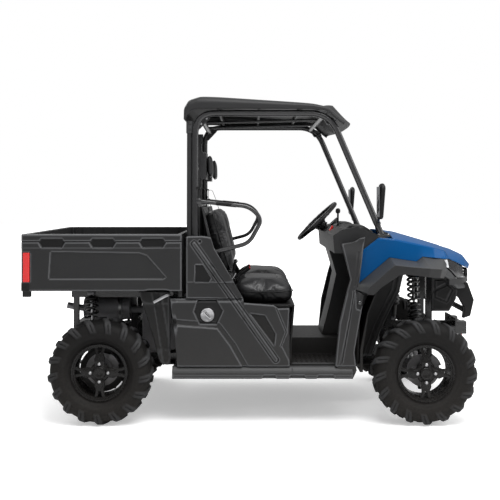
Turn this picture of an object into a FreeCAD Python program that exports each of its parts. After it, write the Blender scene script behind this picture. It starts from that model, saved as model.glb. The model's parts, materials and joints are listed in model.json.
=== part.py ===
import FreeCAD, Part
import math
import os
import re

import Sketcher

# A side by side utility vehicle with two seats, an open cab and a tipping bed.
# Frame: +X forward, +Y to the vehicle's left, +Z up, millimetres.
# The origin lies on the ground, under the middle of the vehicle.

V = FreeCAD.Vector
doc = FreeCAD.newDocument("side_by_side_utv")

# Driving dimensions
DIMENSIONS = {
    "wheelbase": 1905,
    "rear_axle_x": -930,
    "tyre_radius": 310,
    "tyre_outer_y": 745,
    "front_tyre_width": 205,
    "rear_tyre_width": 255,
    "rim_radius": 166,
    "rim_seat_radius": 152,
    "rim_width": 170,
    "lug_height": 15,
    "kingpin_y": 567,
    "gate_gap": 6,
    "seat_gap": 0.3,
    "frame_half_width": 175,
    "frame_tube": 50,
    "skid_thickness": 4,
    "rocker_bottom_z": 270,
    "rocker_top_z": 341,
    "floor_top_z": 345,
    "floor_thickness": 8,
    "floor_half_width": 640,
    "tunnel_half_width": 276,
    "tunnel_top_z": 450,
    "panel_outer_y": 690,
    "panel_thickness": 30,
    "panel_relief": 14,
    "strut_ridge": 5,
    "bed_front_x": -450,
    "bed_length": 940,
    "bed_half_width": 700,
    "bed_bottom_z": 785,
    "bed_top_z": 1119,
    "bed_wall": 28,
    "bed_relief": 12,
    "bed_groove": 5,
    "bed_floor_thickness": 12,
    "bed_floor_z": 812,
    "bed_pivot_x": -1150,
    "bed_pivot_z": 764,
    "bed_beam_top_z": 752,
    "tailgate_thickness": 34,
    "cage_tube_radius": 19,
    "hoop_x": -393,
    "hoop_base_y": 600,
    "roof_rail_y": 560,
    "roof_rail_z": 1841,
    "cage_bend": 120,
    "pillar_foot_x": 745,
    "pillar_foot_z": 1175,
    "roof_half_width": 600,
    "roof_thickness": 12,
    "seat_base_top_z": 700,
    "cushion_top_z": 827,
    "cushion_gap_y": 60,
    "cushion_width": 560,
    "steering_wheel_x": 419,
    "steering_wheel_y": 330,
    "steering_wheel_z": 1171,
    "steering_wheel_radius": 172,
    "steering_rim_radius": 14,
    "steering_tilt": 44,
    "fender_y": 600,
    "hip_tube_radius": 12.5,
    "spindle_radius": 17,
    "shaft_radius": 13,
    "arm_tube_radius": 14,
    "arm_pivot_y": 175,
    "shock_radius": 24,
    "spring_radius": 42,
    "spring_wire_radius": 6.5,
    "tie_rod_radius": 8,
    "hitch_ball_hole_radius": 10,
    "tank_cap_radius": 41,
}

sizes = doc.addObject("Spreadsheet::Sheet", "sizes")
for row, (alias, number) in enumerate(DIMENSIONS.items(), start=1):
    sizes.set("A%d" % row, alias)
    sizes.set("B%d" % row, str(number))
    sizes.setAlias("B%d" % row, alias)
doc.recompute()

# Places that many outlines start from, as expressions on the sheet
ANCHORS = {
    "front_axle": "(sizes.rear_axle_x + sizes.wheelbase)",
    "rear_axle": "sizes.rear_axle_x",
    "bed_front": "sizes.bed_front_x",
    "bed_rear": "(sizes.bed_front_x - sizes.bed_length)",
}
WORD = re.compile(r"[a-z][a-z_]+")
PLANES = {"side": "XZ_Plane", "front": "YZ_Plane", "top": "XY_Plane"}


def mm(alias):
    """The value of one cell, for a piece whose shape is worked out here."""
    return float(sizes.get(alias))


front_axle_x = mm("rear_axle_x") + mm("wheelbase")
rear_axle_x = mm("rear_axle_x")
WHEELBASE_BUILT = 1905
rear_axle_built = -930
front_axle_built = rear_axle_built + WHEELBASE_BUILT
hub_z = mm("tyre_radius")


def bound(text):
    """An expression on the sheet, from an expression in plain size names."""
    def word(match):
        name = match.group(0)
        if name in DIMENSIONS:
            return "sizes." + name
        return ANCHORS.get(name, name)
    return WORD.sub(word, str(text))


# The cab stretches with the wheelbase between these two places, and nearer
# an axle each place keeps its distance from the axle
CAB_REAR = 400
CAB_FRONT = 415


def cab(x):
    """The place x along the vehicle as built, as an expression on the sheet."""
    if x <= rear_axle_built + CAB_REAR:
        return "(rear_axle + %g)" % (x - rear_axle_built)
    if x >= front_axle_built - CAB_FRONT:
        return "(front_axle - %g)" % (front_axle_built - x)
    share = (x - rear_axle_built - CAB_REAR) / (WHEELBASE_BUILT - CAB_REAR - CAB_FRONT)
    return "(rear_axle + %d + %.6f * (wheelbase - %d))" % (CAB_REAR, share, CAB_REAR + CAB_FRONT)


def cab_mm(x):
    """The same place as a number."""
    if x <= rear_axle_built + CAB_REAR:
        return rear_axle_x + x - rear_axle_built
    if x >= front_axle_built - CAB_FRONT:
        return front_axle_x + x - front_axle_built
    share = (x - rear_axle_built - CAB_REAR) / (WHEELBASE_BUILT - CAB_REAR - CAB_FRONT)
    return rear_axle_x + CAB_REAR + share * (mm("wheelbase") - CAB_REAR - CAB_FRONT)


def sketch_outline(body, plane, loops, offset, name):
    """A sketch on one of the body's planes, each corner tied to the sheet."""
    sketch = body.newObject("Sketcher::SketchObject", name)
    support = [f for f in body.Origin.OriginFeatures if f.Role == PLANES[plane]][0]
    sketch.AttachmentSupport = (support, [""])
    sketch.MapMode = "FlatFace"
    sketch.setExpression("AttachmentOffset.Base.z", bound(offset))
    start = 0
    for ring, points in enumerate(loops):
        count = len(points)
        spread = 100.0 / (ring + 1)
        corners = []
        for index in range(count):
            turn = 2 * math.pi * index / count
            corners.append(V(spread * math.cos(turn), spread * math.sin(turn), 0))
        for index in range(count):
            following = corners[(index + 1) % count]
            sketch.addGeometry(Part.LineSegment(corners[index], following), False)
        for index in range(count):
            edge = start + index
            after = start + (index + 1) % count
            sketch.addConstraint(Sketcher.Constraint("Coincident", edge, 2, after, 1))
        for index, (across, up) in enumerate(points):
            edge = start + index
            corner = corners[index]
            place = sketch.addConstraint(
                Sketcher.Constraint("DistanceX", -1, 1, edge, 1, corner.x))
            sketch.setExpression("Constraints[%d]" % place, bound(across))
            place = sketch.addConstraint(
                Sketcher.Constraint("DistanceY", -1, 1, edge, 1, corner.y))
            sketch.setExpression("Constraints[%d]" % place, bound(up))
        start += count
    return sketch


BEND_STEP = math.radians(30)


def plate(label, plane, points, low, high, holes=()):
    """A body padded from an outline, from low to high across its plane.

    side: points are (x, z), low and high are y. front: points are (y, z),
    low and high are x. top: points are (x, y), low and high are z.
    """
    body = doc.addObject("PartDesign::Body", label)
    offset = "-(%s)" % high if plane == "side" else low
    sketch = sketch_outline(body, plane, [points] + list(holes), offset, label + "_outline")
    pad = body.newObject("PartDesign::Pad", label + "_pad")
    pad.Profile = sketch
    pad.setExpression("Length", bound("(%s) - (%s)" % (high, low)))
    sketch.Visibility = False
    body.Label = label
    return body


def block(label, low, high):
    """A box between two corners."""
    box = doc.addObject("Part::Box", label)
    box.Label = label
    for side, axis, start, end in zip(("Length", "Width", "Height"), "xyz", low, high):
        box.setExpression(side, bound("(%s) - (%s)" % (end, start)))
        box.setExpression("Placement.Base." + axis, bound(start))
    return box


TURNS = {
    "x": FreeCAD.Rotation(V(0, 1, 0), 90),
    "y": FreeCAD.Rotation(V(1, 0, 0), -90),
    "z": FreeCAD.Rotation(),
}


def cylinder(label, base, axis, radius, length):
    """A cylinder from its base centre along +X, +Y or +Z."""
    solid = doc.addObject("Part::Cylinder", label)
    solid.Label = label
    solid.Placement = FreeCAD.Placement(V(), TURNS[axis])
    solid.setExpression("Radius", bound(radius))
    solid.setExpression("Height", bound(length))
    for name, place in zip("xyz", base):
        solid.setExpression("Placement.Base." + name, bound(place))
    return solid


def fused(label, members):
    """Pieces joined into one."""
    result = doc.addObject("Part::MultiFuse", label)
    result.Shapes = list(members)
    result.Refine = True
    result.Label = label
    return result


def trimmed(label, base, tool):
    """A piece less another."""
    result = doc.addObject("Part::Cut", label)
    result.Base = base
    result.Tool = tool
    result.Refine = True
    result.Label = label
    return result


def grouped(label, members):
    """Solids that share a node and don't touch."""
    result = doc.addObject("Part::Compound", label)
    result.Links = list(members)
    result.Label = label
    return result


def mirrored(label, source):
    """The same piece on the other side of the vehicle."""
    result = doc.addObject("Part::Mirroring", label)
    result.Source = source
    result.Normal = V(0, 1, 0)
    result.Base = V(0, 0, 0)
    result.Label = label
    return result


def pair(label, source):
    """A piece and its mirror image, in one node."""
    return grouped(label, [source, mirrored(label + "_mirror", source)])


def feature(label, shape):
    """A piece whose shape comes from Part's own functions."""
    result = doc.addObject("Part::Feature", label)
    result.Shape = shape
    result.Label = label
    return result


def route(points, bend):
    """Corners of a path through the points, each bend an arc of short chords."""
    points = [V(*point) for point in points]
    path = [points[0]]
    for before, corner, after in zip(points, points[1:], points[2:]):
        back = (before - corner).normalize()
        ahead = (after - corner).normalize()
        half = back.getAngle(ahead) / 2
        turn = math.pi - 2 * half
        centre = corner + (back + ahead).normalize() * (bend / math.sin(half))
        first = corner + back * (bend / math.tan(half)) - centre
        axis = ahead.cross(back)
        steps = max(2, math.ceil(turn / BEND_STEP))
        for step in range(steps + 1):
            swing = FreeCAD.Rotation(axis, math.degrees(turn * step / steps))
            path.append(centre + swing.multVec(first))
    path.append(points[-1])
    return path


def band_faces(near, far, split):
    """Flat faces between two rings of as many corners, as triangles where they are split."""
    faces = []
    count = len(near)
    for index in range(count):
        after = (index + 1) % count
        corners = [near[index], near[after], far[after], far[index]]
        if split:
            faces.append(Part.Face(Part.makePolygon(corners[:3] + corners[:1])))
            faces.append(Part.Face(Part.makePolygon(corners[2:] + [corners[0], corners[2]])))
        else:
            faces.append(Part.Face(Part.makePolygon(corners + corners[:1])))
    return faces


def closed_solid(faces):
    """A solid inside the faces, turned the right way out."""
    solid = Part.Solid(Part.Shell(faces))
    if solid.Volume < 0:
        solid.reverse()
    return solid


def flat_skin(rings, split=False, fan_ends=False):
    """A solid of flat faces through rings of as many corners each. Ends that aren't flat
    are triangles that meet at their second corner."""
    faces = []
    for near, far in zip(rings, rings[1:]):
        faces += band_faces(near, far, split)
    for ring in (rings[0], rings[-1]):
        if fan_ends:
            around_end = ring[2:] + ring[:1]
            for first, second in zip(around_end, around_end[1:]):
                faces.append(Part.Face(Part.makePolygon([ring[1], first, second, ring[1]])))
        else:
            faces.append(Part.Face(Part.makePolygon(ring + ring[:1])))
    return closed_solid(faces)


def tube(points, radius, bend=60, sides=12):
    """A bar of many flats along a route, mitred at each corner of it."""
    path = route(points, bend)
    ahead = (path[1] - path[0]).normalize()
    across = ahead.cross(V(0.31, 0.95, 0.05)).normalize()
    up = ahead.cross(across)
    first = []
    for index in range(sides):
        turn = 2 * math.pi * (index + 0.5) / sides
        first.append(path[0] + across * (radius * math.cos(turn)) + up * (radius * math.sin(turn)))
    rings = [first]
    for index in range(1, len(path)):
        along = (path[index] - path[index - 1]).normalize()
        normal = along
        if index + 1 < len(path):
            normal = (along + (path[index + 1] - path[index]).normalize()).normalize()
        ring = []
        for corner in rings[-1]:
            reach = (path[index] - corner).dot(normal) / along.dot(normal)
            ring.append(corner + along * reach)
        rings.append(ring)
    return flat_skin(rings)


def bar(start, end, radius, sides=12):
    """A straight bar of many flats."""
    return tube([start, end], radius, sides=sides)


def rod(start, end, radius):
    """A straight round rod, for what turns or slides in a bore."""
    start = V(*start)
    end = V(*end)
    return Part.makeCylinder(radius, (end - start).Length, start, end - start)


def flipped(shape):
    """A shape's mirror image on the other side of the vehicle."""
    return shape.mirror(V(0, 0, 0), V(0, 1, 0))


def joined(shapes):
    """Shapes fused, with the seams between their flat faces removed."""
    return shapes[0].multiFuse(shapes[1:]).removeSplitter()


def prism(points, low, high):
    """A side outline of (x, z) corners, carried from y low to y high."""
    corners = [V(x, low, z) for x, z in points]
    face = Part.Face(Part.makePolygon(corners + corners[:1]))
    return face.extrude(V(0, high - low, 0))


# Wheels

RIM_SIDES = 16
LUGS = 17
LUG_FOOT = 0.31
LUG_TOP = 0.21
LUG_LEAN = 0.30
spoke_depth = 20
face_inset = 22


def around(centre_x, radius, y, turn):
    """A point about a wheel's axle, turned from straight down."""
    return V(centre_x + radius * math.sin(turn), y, hub_z - radius * math.cos(turn))


def wheel_ring(centre_x, radius, y, sides):
    """A regular many-sided ring about a wheel's axle, a flat at the bottom."""
    pitch = 2 * math.pi / sides
    return [around(centre_x, radius, y, (index + 0.5) * pitch) for index in range(sides)]


def ring_stack(centre_x, sections, sides=RIM_SIDES):
    """A solid through rings of (y, radius), flat between them."""
    return flat_skin([wheel_ring(centre_x, radius, y, sides) for y, radius in sections])


def tread_ring(centre_x, y, radius, rise, phase):
    """A section of the tread: each lug has two corners at its foot and two on its top."""
    pitch = 2 * math.pi / LUGS
    corners = []
    for lug in range(LUGS):
        for share, lift in ((-LUG_FOOT, 0), (-LUG_TOP, rise), (LUG_TOP, rise), (LUG_FOOT, 0)):
            corners.append(around(centre_x, radius + lift, y, (lug + share + phase) * pitch))
    return corners


def sidewall(centre_x, bead_y, tread, phase):
    """Flat faces from a bead with one corner a lug out to the first section of the tread."""
    pitch = 2 * math.pi / LUGS
    radius = mm("rim_radius") + 3
    bead = [around(centre_x, radius, bead_y, (lug - 0.5 + phase) * pitch) for lug in range(LUGS)]
    faces = [Part.Face(Part.makePolygon(bead + bead[:1]))]
    for lug in range(LUGS):
        ahead = bead[(lug + 1) % LUGS]
        foot, top, end, heel, following = [tread[(4 * lug + k) % len(tread)] for k in range(5)]
        for corners in ((bead[lug], foot, top), (bead[lug], top, end), (bead[lug], end, ahead),
                        (ahead, end, heel), (ahead, heel, following)):
            faces.append(Part.Face(Part.makePolygon(list(corners) + [corners[0]])))
    return faces


def tyre(centre_x, width):
    """A tyre on the right side: leaning lugs, staggered across the tread, that wrap its
    shoulders, with a flat of one of them on the ground."""
    middle_y = -mm("tyre_outer_y") + width / 2
    bead = mm("rim_width") / 2 - mm("seat_gap")
    rise = mm("lug_height")
    crown = hub_z / math.cos(2 * math.pi * LUG_TOP / LUGS) - rise
    sections = [
        (-width / 2, crown * 0.85, 0, 0),
        (-width / 2 + 20, crown - 3, rise, 0),
        (-16, crown, rise, LUG_LEAN),
        (16, crown, rise, LUG_LEAN + 0.5),
        (width / 2 - 20, crown - 3, rise, 0.5),
        (width / 2, crown * 0.85, 0, 0.5),
    ]
    rings = [tread_ring(centre_x, middle_y + y, radius, lift, phase)
             for y, radius, lift, phase in sections]
    faces = sidewall(centre_x, middle_y - bead, rings[0], 0)
    for near, far in zip(rings, rings[1:]):
        faces += band_faces(near, far, True)
    faces += sidewall(centre_x, middle_y + bead, rings[-1], 0.5)
    bore = mm("rim_seat_radius") + mm("seat_gap")
    hole = ring_stack(centre_x, [(middle_y - width, bore), (middle_y + width, bore)])
    return closed_solid(faces).cut(hole)


def rim(centre_x, width):
    """A wheel on the right side: barrel, four forked spokes and its hub."""
    middle_y = -mm("tyre_outer_y") + width / 2
    half = mm("rim_width") / 2
    lip = 8
    wall = 7
    seat = mm("rim_seat_radius")
    flange = mm("rim_radius")
    barrel = ring_stack(centre_x, [
        (middle_y - half - lip, flange - 2), (middle_y - half, flange),
        (middle_y - half, seat), (middle_y + half, seat),
        (middle_y + half, flange), (middle_y + half + lip, flange - 2),
    ])
    inside = seat - wall
    hollow = ring_stack(centre_x, [(middle_y - width, inside), (middle_y + width, inside)])
    barrel = barrel.cut(hollow)
    face_y = middle_y - half + face_inset
    axle = V(centre_x, 0, hub_z)
    members = [barrel]
    spoke = prism([(-22, 40), (22, 40), (31, inside), (-31, inside)],
                  face_y - spoke_depth, face_y)
    slot = prism([(-6, 92), (6, 92), (13, inside - 12), (-13, inside - 12)],
                 face_y - 2 * spoke_depth, face_y + spoke_depth)
    spoke = spoke.cut(slot)
    spoke.translate(axle)
    for quarter in range(4):
        members.append(spoke.copy())
        members[-1].rotate(axle, V(0, 1, 0), 90 * quarter)
    hub_end = middle_y + 4
    hub = ring_stack(centre_x, [
        (face_y - spoke_depth - 14, 30), (face_y - spoke_depth, 36),
        (face_y - spoke_depth, 66), (face_y, 66), (face_y, 44), (hub_end, 44),
    ], sides=10)
    members.append(hub)
    bore_radius = (mm("spindle_radius") + 0.6) / math.cos(math.pi / 10)
    bore = bar((centre_x, face_y - 4, hub_z), (centre_x, hub_end + 4, hub_z), bore_radius, 10)
    return joined(members).cut(bore)


pieces = []
for end, centre_x, width in (
    ("front", front_axle_x, mm("front_tyre_width")),
    ("rear", rear_axle_x, mm("rear_tyre_width")),
):
    right_tyre = tyre(centre_x, width)
    right_rim = rim(centre_x, width)
    pieces.append(feature("tyre_%s_right" % end, right_tyre))
    pieces.append(feature("tyre_%s_left" % end, flipped(right_tyre)))
    pieces.append(feature("rim_%s_right" % end, right_rim))
    pieces.append(feature("rim_%s_left" % end, flipped(right_rim)))


# Front knuckles, with the spindle that carries the wheel and the steering arm

kingpin_y = mm("kingpin_y")
knuckle_half = 82
steering_arm_reach = 80
tie_rod_x = front_axle_x - steering_arm_reach
tie_rod_z = hub_z + 72
tie_rod_end_y = kingpin_y - 22
spindle_end = mm("tyre_outer_y") - mm("front_tyre_width") / 2 + mm("rim_width") / 2 - 22


def knuckle():
    """The right knuckle, upright on its kingpin."""
    upright = Part.makeBox(44, 36, 2 * knuckle_half - 40,
                           V(front_axle_x - 22, -kingpin_y - 14, hub_z - knuckle_half + 20))
    kingpins = [rod((front_axle_x, -kingpin_y, hub_z), (front_axle_x, -kingpin_y, hub_z + knuckle_half), 14),
                bar((front_axle_x, -kingpin_y, hub_z), (front_axle_x, -kingpin_y, hub_z - knuckle_half), 14, 8)]
    boss = bar((front_axle_x, -kingpin_y - 10, hub_z), (front_axle_x, -kingpin_y - 32, hub_z), 40)
    spindle = rod((front_axle_x, -kingpin_y, hub_z), (front_axle_x, -spindle_end, hub_z),
                  mm("spindle_radius"))
    arm = prism([(tie_rod_x - 14, hub_z + 42), (front_axle_x, hub_z + 30),
                 (front_axle_x, hub_z + 54), (tie_rod_x - 14, hub_z + 54)],
                -tie_rod_end_y - 16, -tie_rod_end_y + 12)
    caliper = Part.makeBox(40, 30, 34, V(front_axle_x + 12, -kingpin_y - 10, hub_z + 46))
    return joined([upright] + kingpins + [boss, spindle, arm, caliper])


right_knuckle = knuckle()
pieces.append(feature("knuckle_right", right_knuckle))
pieces.append(feature("knuckle_left", flipped(right_knuckle)))


# Rear wheel carriers, fixed on their arms

carrier_y = mm("tyre_outer_y") - mm("rear_tyre_width") + 36
rear_spindle_end = mm("tyre_outer_y") - mm("rear_tyre_width") / 2 + mm("rim_width") / 2 - 22


def rear_carrier():
    """The right rear carrier with its spindle."""
    upright = Part.makeBox(60, 40, 2 * knuckle_half,
                           V(rear_axle_x - 30, -carrier_y - 6, hub_z - knuckle_half))
    boss = bar((rear_axle_x, -carrier_y, hub_z), (rear_axle_x, -carrier_y - 26, hub_z), 44)
    spindle = rod((rear_axle_x, -carrier_y, hub_z), (rear_axle_x, -rear_spindle_end, hub_z),
                  mm("spindle_radius"))
    return joined([upright, boss, spindle])


right_carrier = rear_carrier()
pieces.append(feature("rear_carriers", Part.makeCompound([right_carrier, flipped(right_carrier)])))


# Suspension arms

pivot_y = mm("arm_pivot_y")
arm_radius = mm("arm_tube_radius")


def wishbone(axle_x, spread_back, spread_ahead, pivot_z, ball_y, ball_z, housing, saddle=None):
    """A right-hand arm: two tubes from their pivots to a ball-joint housing."""
    ball = (axle_x, -ball_y, ball_z)
    parts = [bar((axle_x - spread_back, -pivot_y, pivot_z), ball, arm_radius, 6),
             bar((axle_x + spread_ahead, -pivot_y, pivot_z), ball, arm_radius, 6),
             bar((axle_x, -ball_y, ball_z - housing), (axle_x, -ball_y, ball_z + housing), 20, 8)]
    for pivot_x in (axle_x - spread_back, axle_x + spread_ahead):
        parts.append(bar((pivot_x - 26, -pivot_y, pivot_z), (pivot_x + 26, -pivot_y, pivot_z), 19, 6))
    if saddle:
        foot, low, start, end = saddle
        top = foot[2] - 17 - mm("seat_gap")
        parts.append(Part.makeBox(end - start, 26, top - low, V(axle_x + start, foot[1] - 13, low)))
    return joined(parts)


low_pivot_z = hub_z - 55
shock_low = (front_axle_x - 8, -440, hub_z + 170)
rear_shock_low = (rear_axle_x - 70, -400, hub_z - 50)
housing_half_height = 20 - mm("seat_gap")
ball_low_z = hub_z - knuckle_half - 20
ball_high_z = hub_z + knuckle_half + 20
right_arms = [
    wishbone(front_axle_x, 130, 130, low_pivot_z, kingpin_y, ball_low_z, housing_half_height),
    wishbone(front_axle_x, 105, 105, hub_z + 172, kingpin_y, ball_high_z, housing_half_height,
             (shock_low, hub_z + 116, -44, 44)),
]
pieces.append(feature("front_arms", Part.makeCompound(right_arms + [flipped(a) for a in right_arms])))
rear_ball_y = carrier_y - 14
right_arms = [
    wishbone(rear_axle_x, 130, 130, low_pivot_z, rear_ball_y, ball_low_z, housing_half_height,
             (rear_shock_low, hub_z - 102, -92, -22)),
    wishbone(rear_axle_x, 0, 120, hub_z + 162, rear_ball_y, ball_high_z, housing_half_height),
]
pieces.append(feature("rear_arms", Part.makeCompound(right_arms + [flipped(a) for a in right_arms])))


# Coil-over dampers

COIL_STEPS = 6
COIL_TURNS = 4


def coil(foot, head):
    """A spring of square wire, wound about the line from foot to head."""
    line = (head - foot).normalize()
    across = line.cross(V(1, 0, 0)).normalize()
    other = line.cross(across)
    wire = mm("spring_wire_radius")
    middle = mm("spring_radius") - wire - 1
    count = COIL_TURNS * COIL_STEPS
    rings = []
    for index in range(count + 1):
        turn = 2 * math.pi * index / COIL_STEPS
        out = across * math.cos(turn) + other * math.sin(turn)
        centre = foot + (head - foot) * (index / count) + out * middle
        rings.append([centre + out * wire, centre + line * wire, centre - out * wire,
                      centre - line * wire])
    return flat_skin(rings, split=True)


def coil_over(foot, head):
    """A damper inside its coil spring, with a seat at each end of the spring."""
    foot = V(*foot)
    head = V(*head)
    line = (head - foot).normalize()
    length = (head - foot).Length
    low_seat = foot + line * (0.28 * length)
    high_seat = head - line * 38
    parts = [bar(foot + line * 24, foot + line * length * 0.5, mm("shock_radius"), 6),
             bar(foot + line * 12, head - line * 12, 10, 6),
             bar(low_seat - line * 10, low_seat, mm("spring_radius"), 8),
             bar(high_seat, high_seat + line * 10, mm("spring_radius"), 8)]
    parts += [bar(eye - V(20, 0, 0), eye + V(20, 0, 0), 17) for eye in (foot, head)]
    return joined(parts).fuse(coil(low_seat - line * 3, high_seat + line * 3))


shock_high = (front_axle_x - 8, -330, hub_z + 590 - 17)
right_shock = coil_over(shock_low, shock_high)
pieces.append(feature("front_shocks", Part.makeCompound([right_shock, flipped(right_shock)])))
rear_shock_high = (rear_axle_x - 110, -346 - 17 - mm("seat_gap"), hub_z + 428)
right_shock = coil_over(rear_shock_low, rear_shock_high)
pieces.append(feature("rear_shocks", Part.makeCompound([right_shock, flipped(right_shock)])))


# Drive: differentials, half shafts, the propeller shaft and the engine block

def half_shaft(axle_x, inner_y, boot_y, outer_y, boot_radius):
    """A right-hand shaft between its two boots."""
    shaft = bar((axle_x, -inner_y, hub_z), (axle_x, -outer_y, hub_z), mm("shaft_radius"), 8)
    inner_boot = tapered((axle_x, -inner_y, hub_z), 40, 60, 22)
    outer_boot = tapered((axle_x, 60 - boot_y, hub_z), 22, 60, boot_radius)
    return joined([shaft, inner_boot, outer_boot])


def tapered(start, near_radius, length, far_radius, sides=10):
    """A taper of many flats that runs out to the right."""
    rings = []
    for reach, radius in ((0, near_radius), (length, far_radius)):
        ring = []
        for index in range(sides):
            turn = 2 * math.pi * (index + 0.5) / sides
            ring.append(V(start[0] + radius * math.sin(turn), start[1] - reach,
                          start[2] + radius * math.cos(turn)))
        rings.append(ring)
    return flat_skin(rings)


diff_half = 105
front_shaft = half_shaft(front_axle_x, diff_half + 0.3, kingpin_y - 50, kingpin_y - 33, 30)
rear_shaft = half_shaft(rear_axle_x, diff_half + 0.3, carrier_y - 34.3, carrier_y - 34.3, 38)
shafts = [front_shaft, rear_shaft]
half_shafts = feature("half_shafts", Part.makeCompound(shafts + [flipped(s) for s in shafts]))
def differential(axle_x, radius, neck_start, neck_end, neck_radius):
    """A case that narrows to each shaft, with the neck of its pinion."""
    case = ring_stack(axle_x, [
        (-diff_half, 0.62 * radius), (-0.55 * diff_half, radius),
        (0.55 * diff_half, radius), (diff_half, 0.62 * radius)], sides=14)
    neck = bar((axle_x + neck_start, 0, hub_z), (axle_x + neck_end, 0, hub_z), neck_radius)
    return joined([case, neck])


pieces.append(feature("front_differential", differential(front_axle_x, 78, -170, -30, 42)))
pieces.append(feature("rear_differential", differential(rear_axle_x, 92, 30, 170, 48)))
propeller_z = mm("floor_top_z") - 5
neck_reach = 170 + mm("seat_gap")
propeller = feature("propeller_shaft", bar((rear_axle_x + neck_reach, 0, propeller_z),
                                           (front_axle_x - neck_reach, 0, propeller_z), 20, 10))
pieces.append(grouped("drive_shafts", [half_shafts, propeller]))


# Steering: wheel, column, rack housing and the rack with its tie rods

tilt = math.radians(mm("steering_tilt"))
column_line = V(math.sin(tilt), 0, -math.cos(tilt))
wheel_centre = V(cab_mm(mm("steering_wheel_x")), mm("steering_wheel_y"), mm("steering_wheel_z"))
boss_depth = 46


def flat_ring(radius, z, sides=20):
    """A regular ring about the Z axis."""
    turns = [2 * math.pi * index / sides for index in range(sides)]
    return [V(radius * math.cos(turn), radius * math.sin(turn), z) for turn in turns]


def steering_wheel():
    """A rim of six-sided section, three spokes and a boss."""
    ring = mm("steering_wheel_radius")
    grip = mm("steering_rim_radius")
    outer = [(-grip, ring), (-0.5 * grip, ring + 0.87 * grip), (0.5 * grip, ring + 0.87 * grip),
             (grip, ring)]
    inner = [(-grip, ring), (-0.5 * grip, ring - 0.87 * grip), (0.5 * grip, ring - 0.87 * grip),
             (grip, ring)]
    rings = [flat_skin([flat_ring(radius, z) for z, radius in side]) for side in (outer, inner)]
    parts = [rings[0].cut(rings[1]), bar((0, 0, 8 - boss_depth), (0, 0, 8), 38)]
    for angle in (90, 210, 330):
        spoke = Part.makeBox(ring - 20, 34, 9, V(20, -17, -6))
        spoke.rotate(V(), V(0, 0, 1), angle)
        parts.append(spoke)
    whole = joined(parts)
    whole.rotate(V(), V(0, 1, 0), -mm("steering_tilt"))
    whole.translate(wheel_centre)
    return whole


pieces.append(feature("steering_wheel", steering_wheel()))
column_top = wheel_centre + column_line * (boss_depth - 8 + mm("seat_gap"))
column_foot = wheel_centre + column_line * 165
column = [Part.makeCylinder(16, 20, column_top, column_line),
          bar(column_top + column_line * 6, column_top + column_line * (170 - boss_depth), 30)]
stalk = bar(column_top + column_line * 30, column_top + column_line * 30 + V(10, -110, 40), 6)
pieces.append(feature("steering_column", joined(column + [stalk])))

rod_radius = mm("tie_rod_radius")
rack_bore = rod_radius + 0.6
housing_half = pivot_y - 25
post_face_x = front_axle_x - 112 + mm("seat_gap")
housing = bar((tie_rod_x, -housing_half, tie_rod_z), (tie_rod_x, housing_half, tie_rod_z), 24, 10)
housing_bore = rod((tie_rod_x, -housing_half - 5, tie_rod_z),
                   (tie_rod_x, housing_half + 5, tie_rod_z), rack_bore)
brackets = [Part.makeBox(tie_rod_x - post_face_x, 30, 26, V(post_face_x, y, tie_rod_z - 13))
            for y in (-housing_half, housing_half - 30)]
pieces.append(feature("rack_housing", joined([housing] + brackets).cut(housing_bore)))
rack_bar = [bar((tie_rod_x, -tie_rod_end_y, tie_rod_z), (tie_rod_x, tie_rod_end_y, tie_rod_z),
                rod_radius, 8)]
for side in (-1, 1):
    rack_bar.append(bar((tie_rod_x, side * tie_rod_end_y, tie_rod_z - 11),
                        (tie_rod_x, side * tie_rod_end_y, tie_rod_z + 11), 12, 8))
pieces.append(feature("steering_rack", joined(rack_bar)))


# Frame: rails under the floor, a narrow tower at each axle, and the bed's beams

rail_out = "frame_half_width"
rail_in = "frame_half_width - frame_tube"
frame_top = "floor_top_z - floor_thickness"
frame_low = "floor_top_z - floor_thickness - frame_tube"
tower_out = "arm_pivot_y - 19 - seat_gap"
tower_in = "arm_pivot_y - 59 - seat_gap"
rails = []
rail = block("main_rail", ("rear_axle + 150 + seat_gap", rail_in, frame_low),
             ("front_axle - 150 - seat_gap", rail_out, frame_top))
rails += [rail, mirrored("main_rail_mirror", rail)]
for number, middle in enumerate((-480, -220, 40, 300, 545)):
    start = cab(middle) + " - frame_tube / 2"
    end = cab(middle) + " + frame_tube / 2"
    outrigger = block("outrigger_%d" % number, (start, rail_in, frame_low),
                      (end, "floor_half_width", frame_top))
    rails += [outrigger, mirrored("outrigger_mirror_%d" % number, outrigger)]
    rails.append(block("cross_member_%d" % number, (start, "-(%s)" % rail_in, frame_low),
                       (end, rail_in, frame_low + " + 22")))
pieces.append(fused("main_frame", rails))
pieces.append(plate("skid_plate", "top", [
    ("rear_axle + 190", "-300"), ("front_axle - 215", "-300"), ("front_axle - 175", "-200"),
    ("front_axle - 175", "200"), ("front_axle - 215", "300"), ("rear_axle + 190", "300"),
], frame_low + " - skid_thickness", frame_low))


def tower(label, axle, top, low_rail, mid_rail, top_rail, beams):
    """Two side frames at an axle: rails, two posts each, and cross beams."""
    parts = []
    spans = [("low", low_rail, "tyre_radius - 72", "tyre_radius - 42"),
             ("mid", mid_rail[:2], mid_rail[2], mid_rail[3]),
             ("top", top_rail, top + " - 38", top)]
    for name, ends, low, high in spans:
        parts.append(block("%s_%s" % (label, name), (axle + ends[0], tower_in, low),
                           (axle + ends[1], tower_out, high)))
    for name, start, end in (("back", "- 150", "- 112"), ("ahead", "+ 112", "+ 150")):
        parts.append(block("%s_%s_post" % (label, name),
                           (axle + start, tower_in, "tyre_radius - 72"),
                           (axle + end, tower_out, top)))
    side = fused(label + "_side", parts)
    members = [side, mirrored(label + "_side_mirror", side)]
    for number, (start, end, low, high) in enumerate(beams):
        members.append(block("%s_beam_%d" % (label, number),
                             (axle + start, "-(%s)" % tower_in, low),
                             (axle + end, tower_in, high)))
    return fused(label, members)


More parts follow.
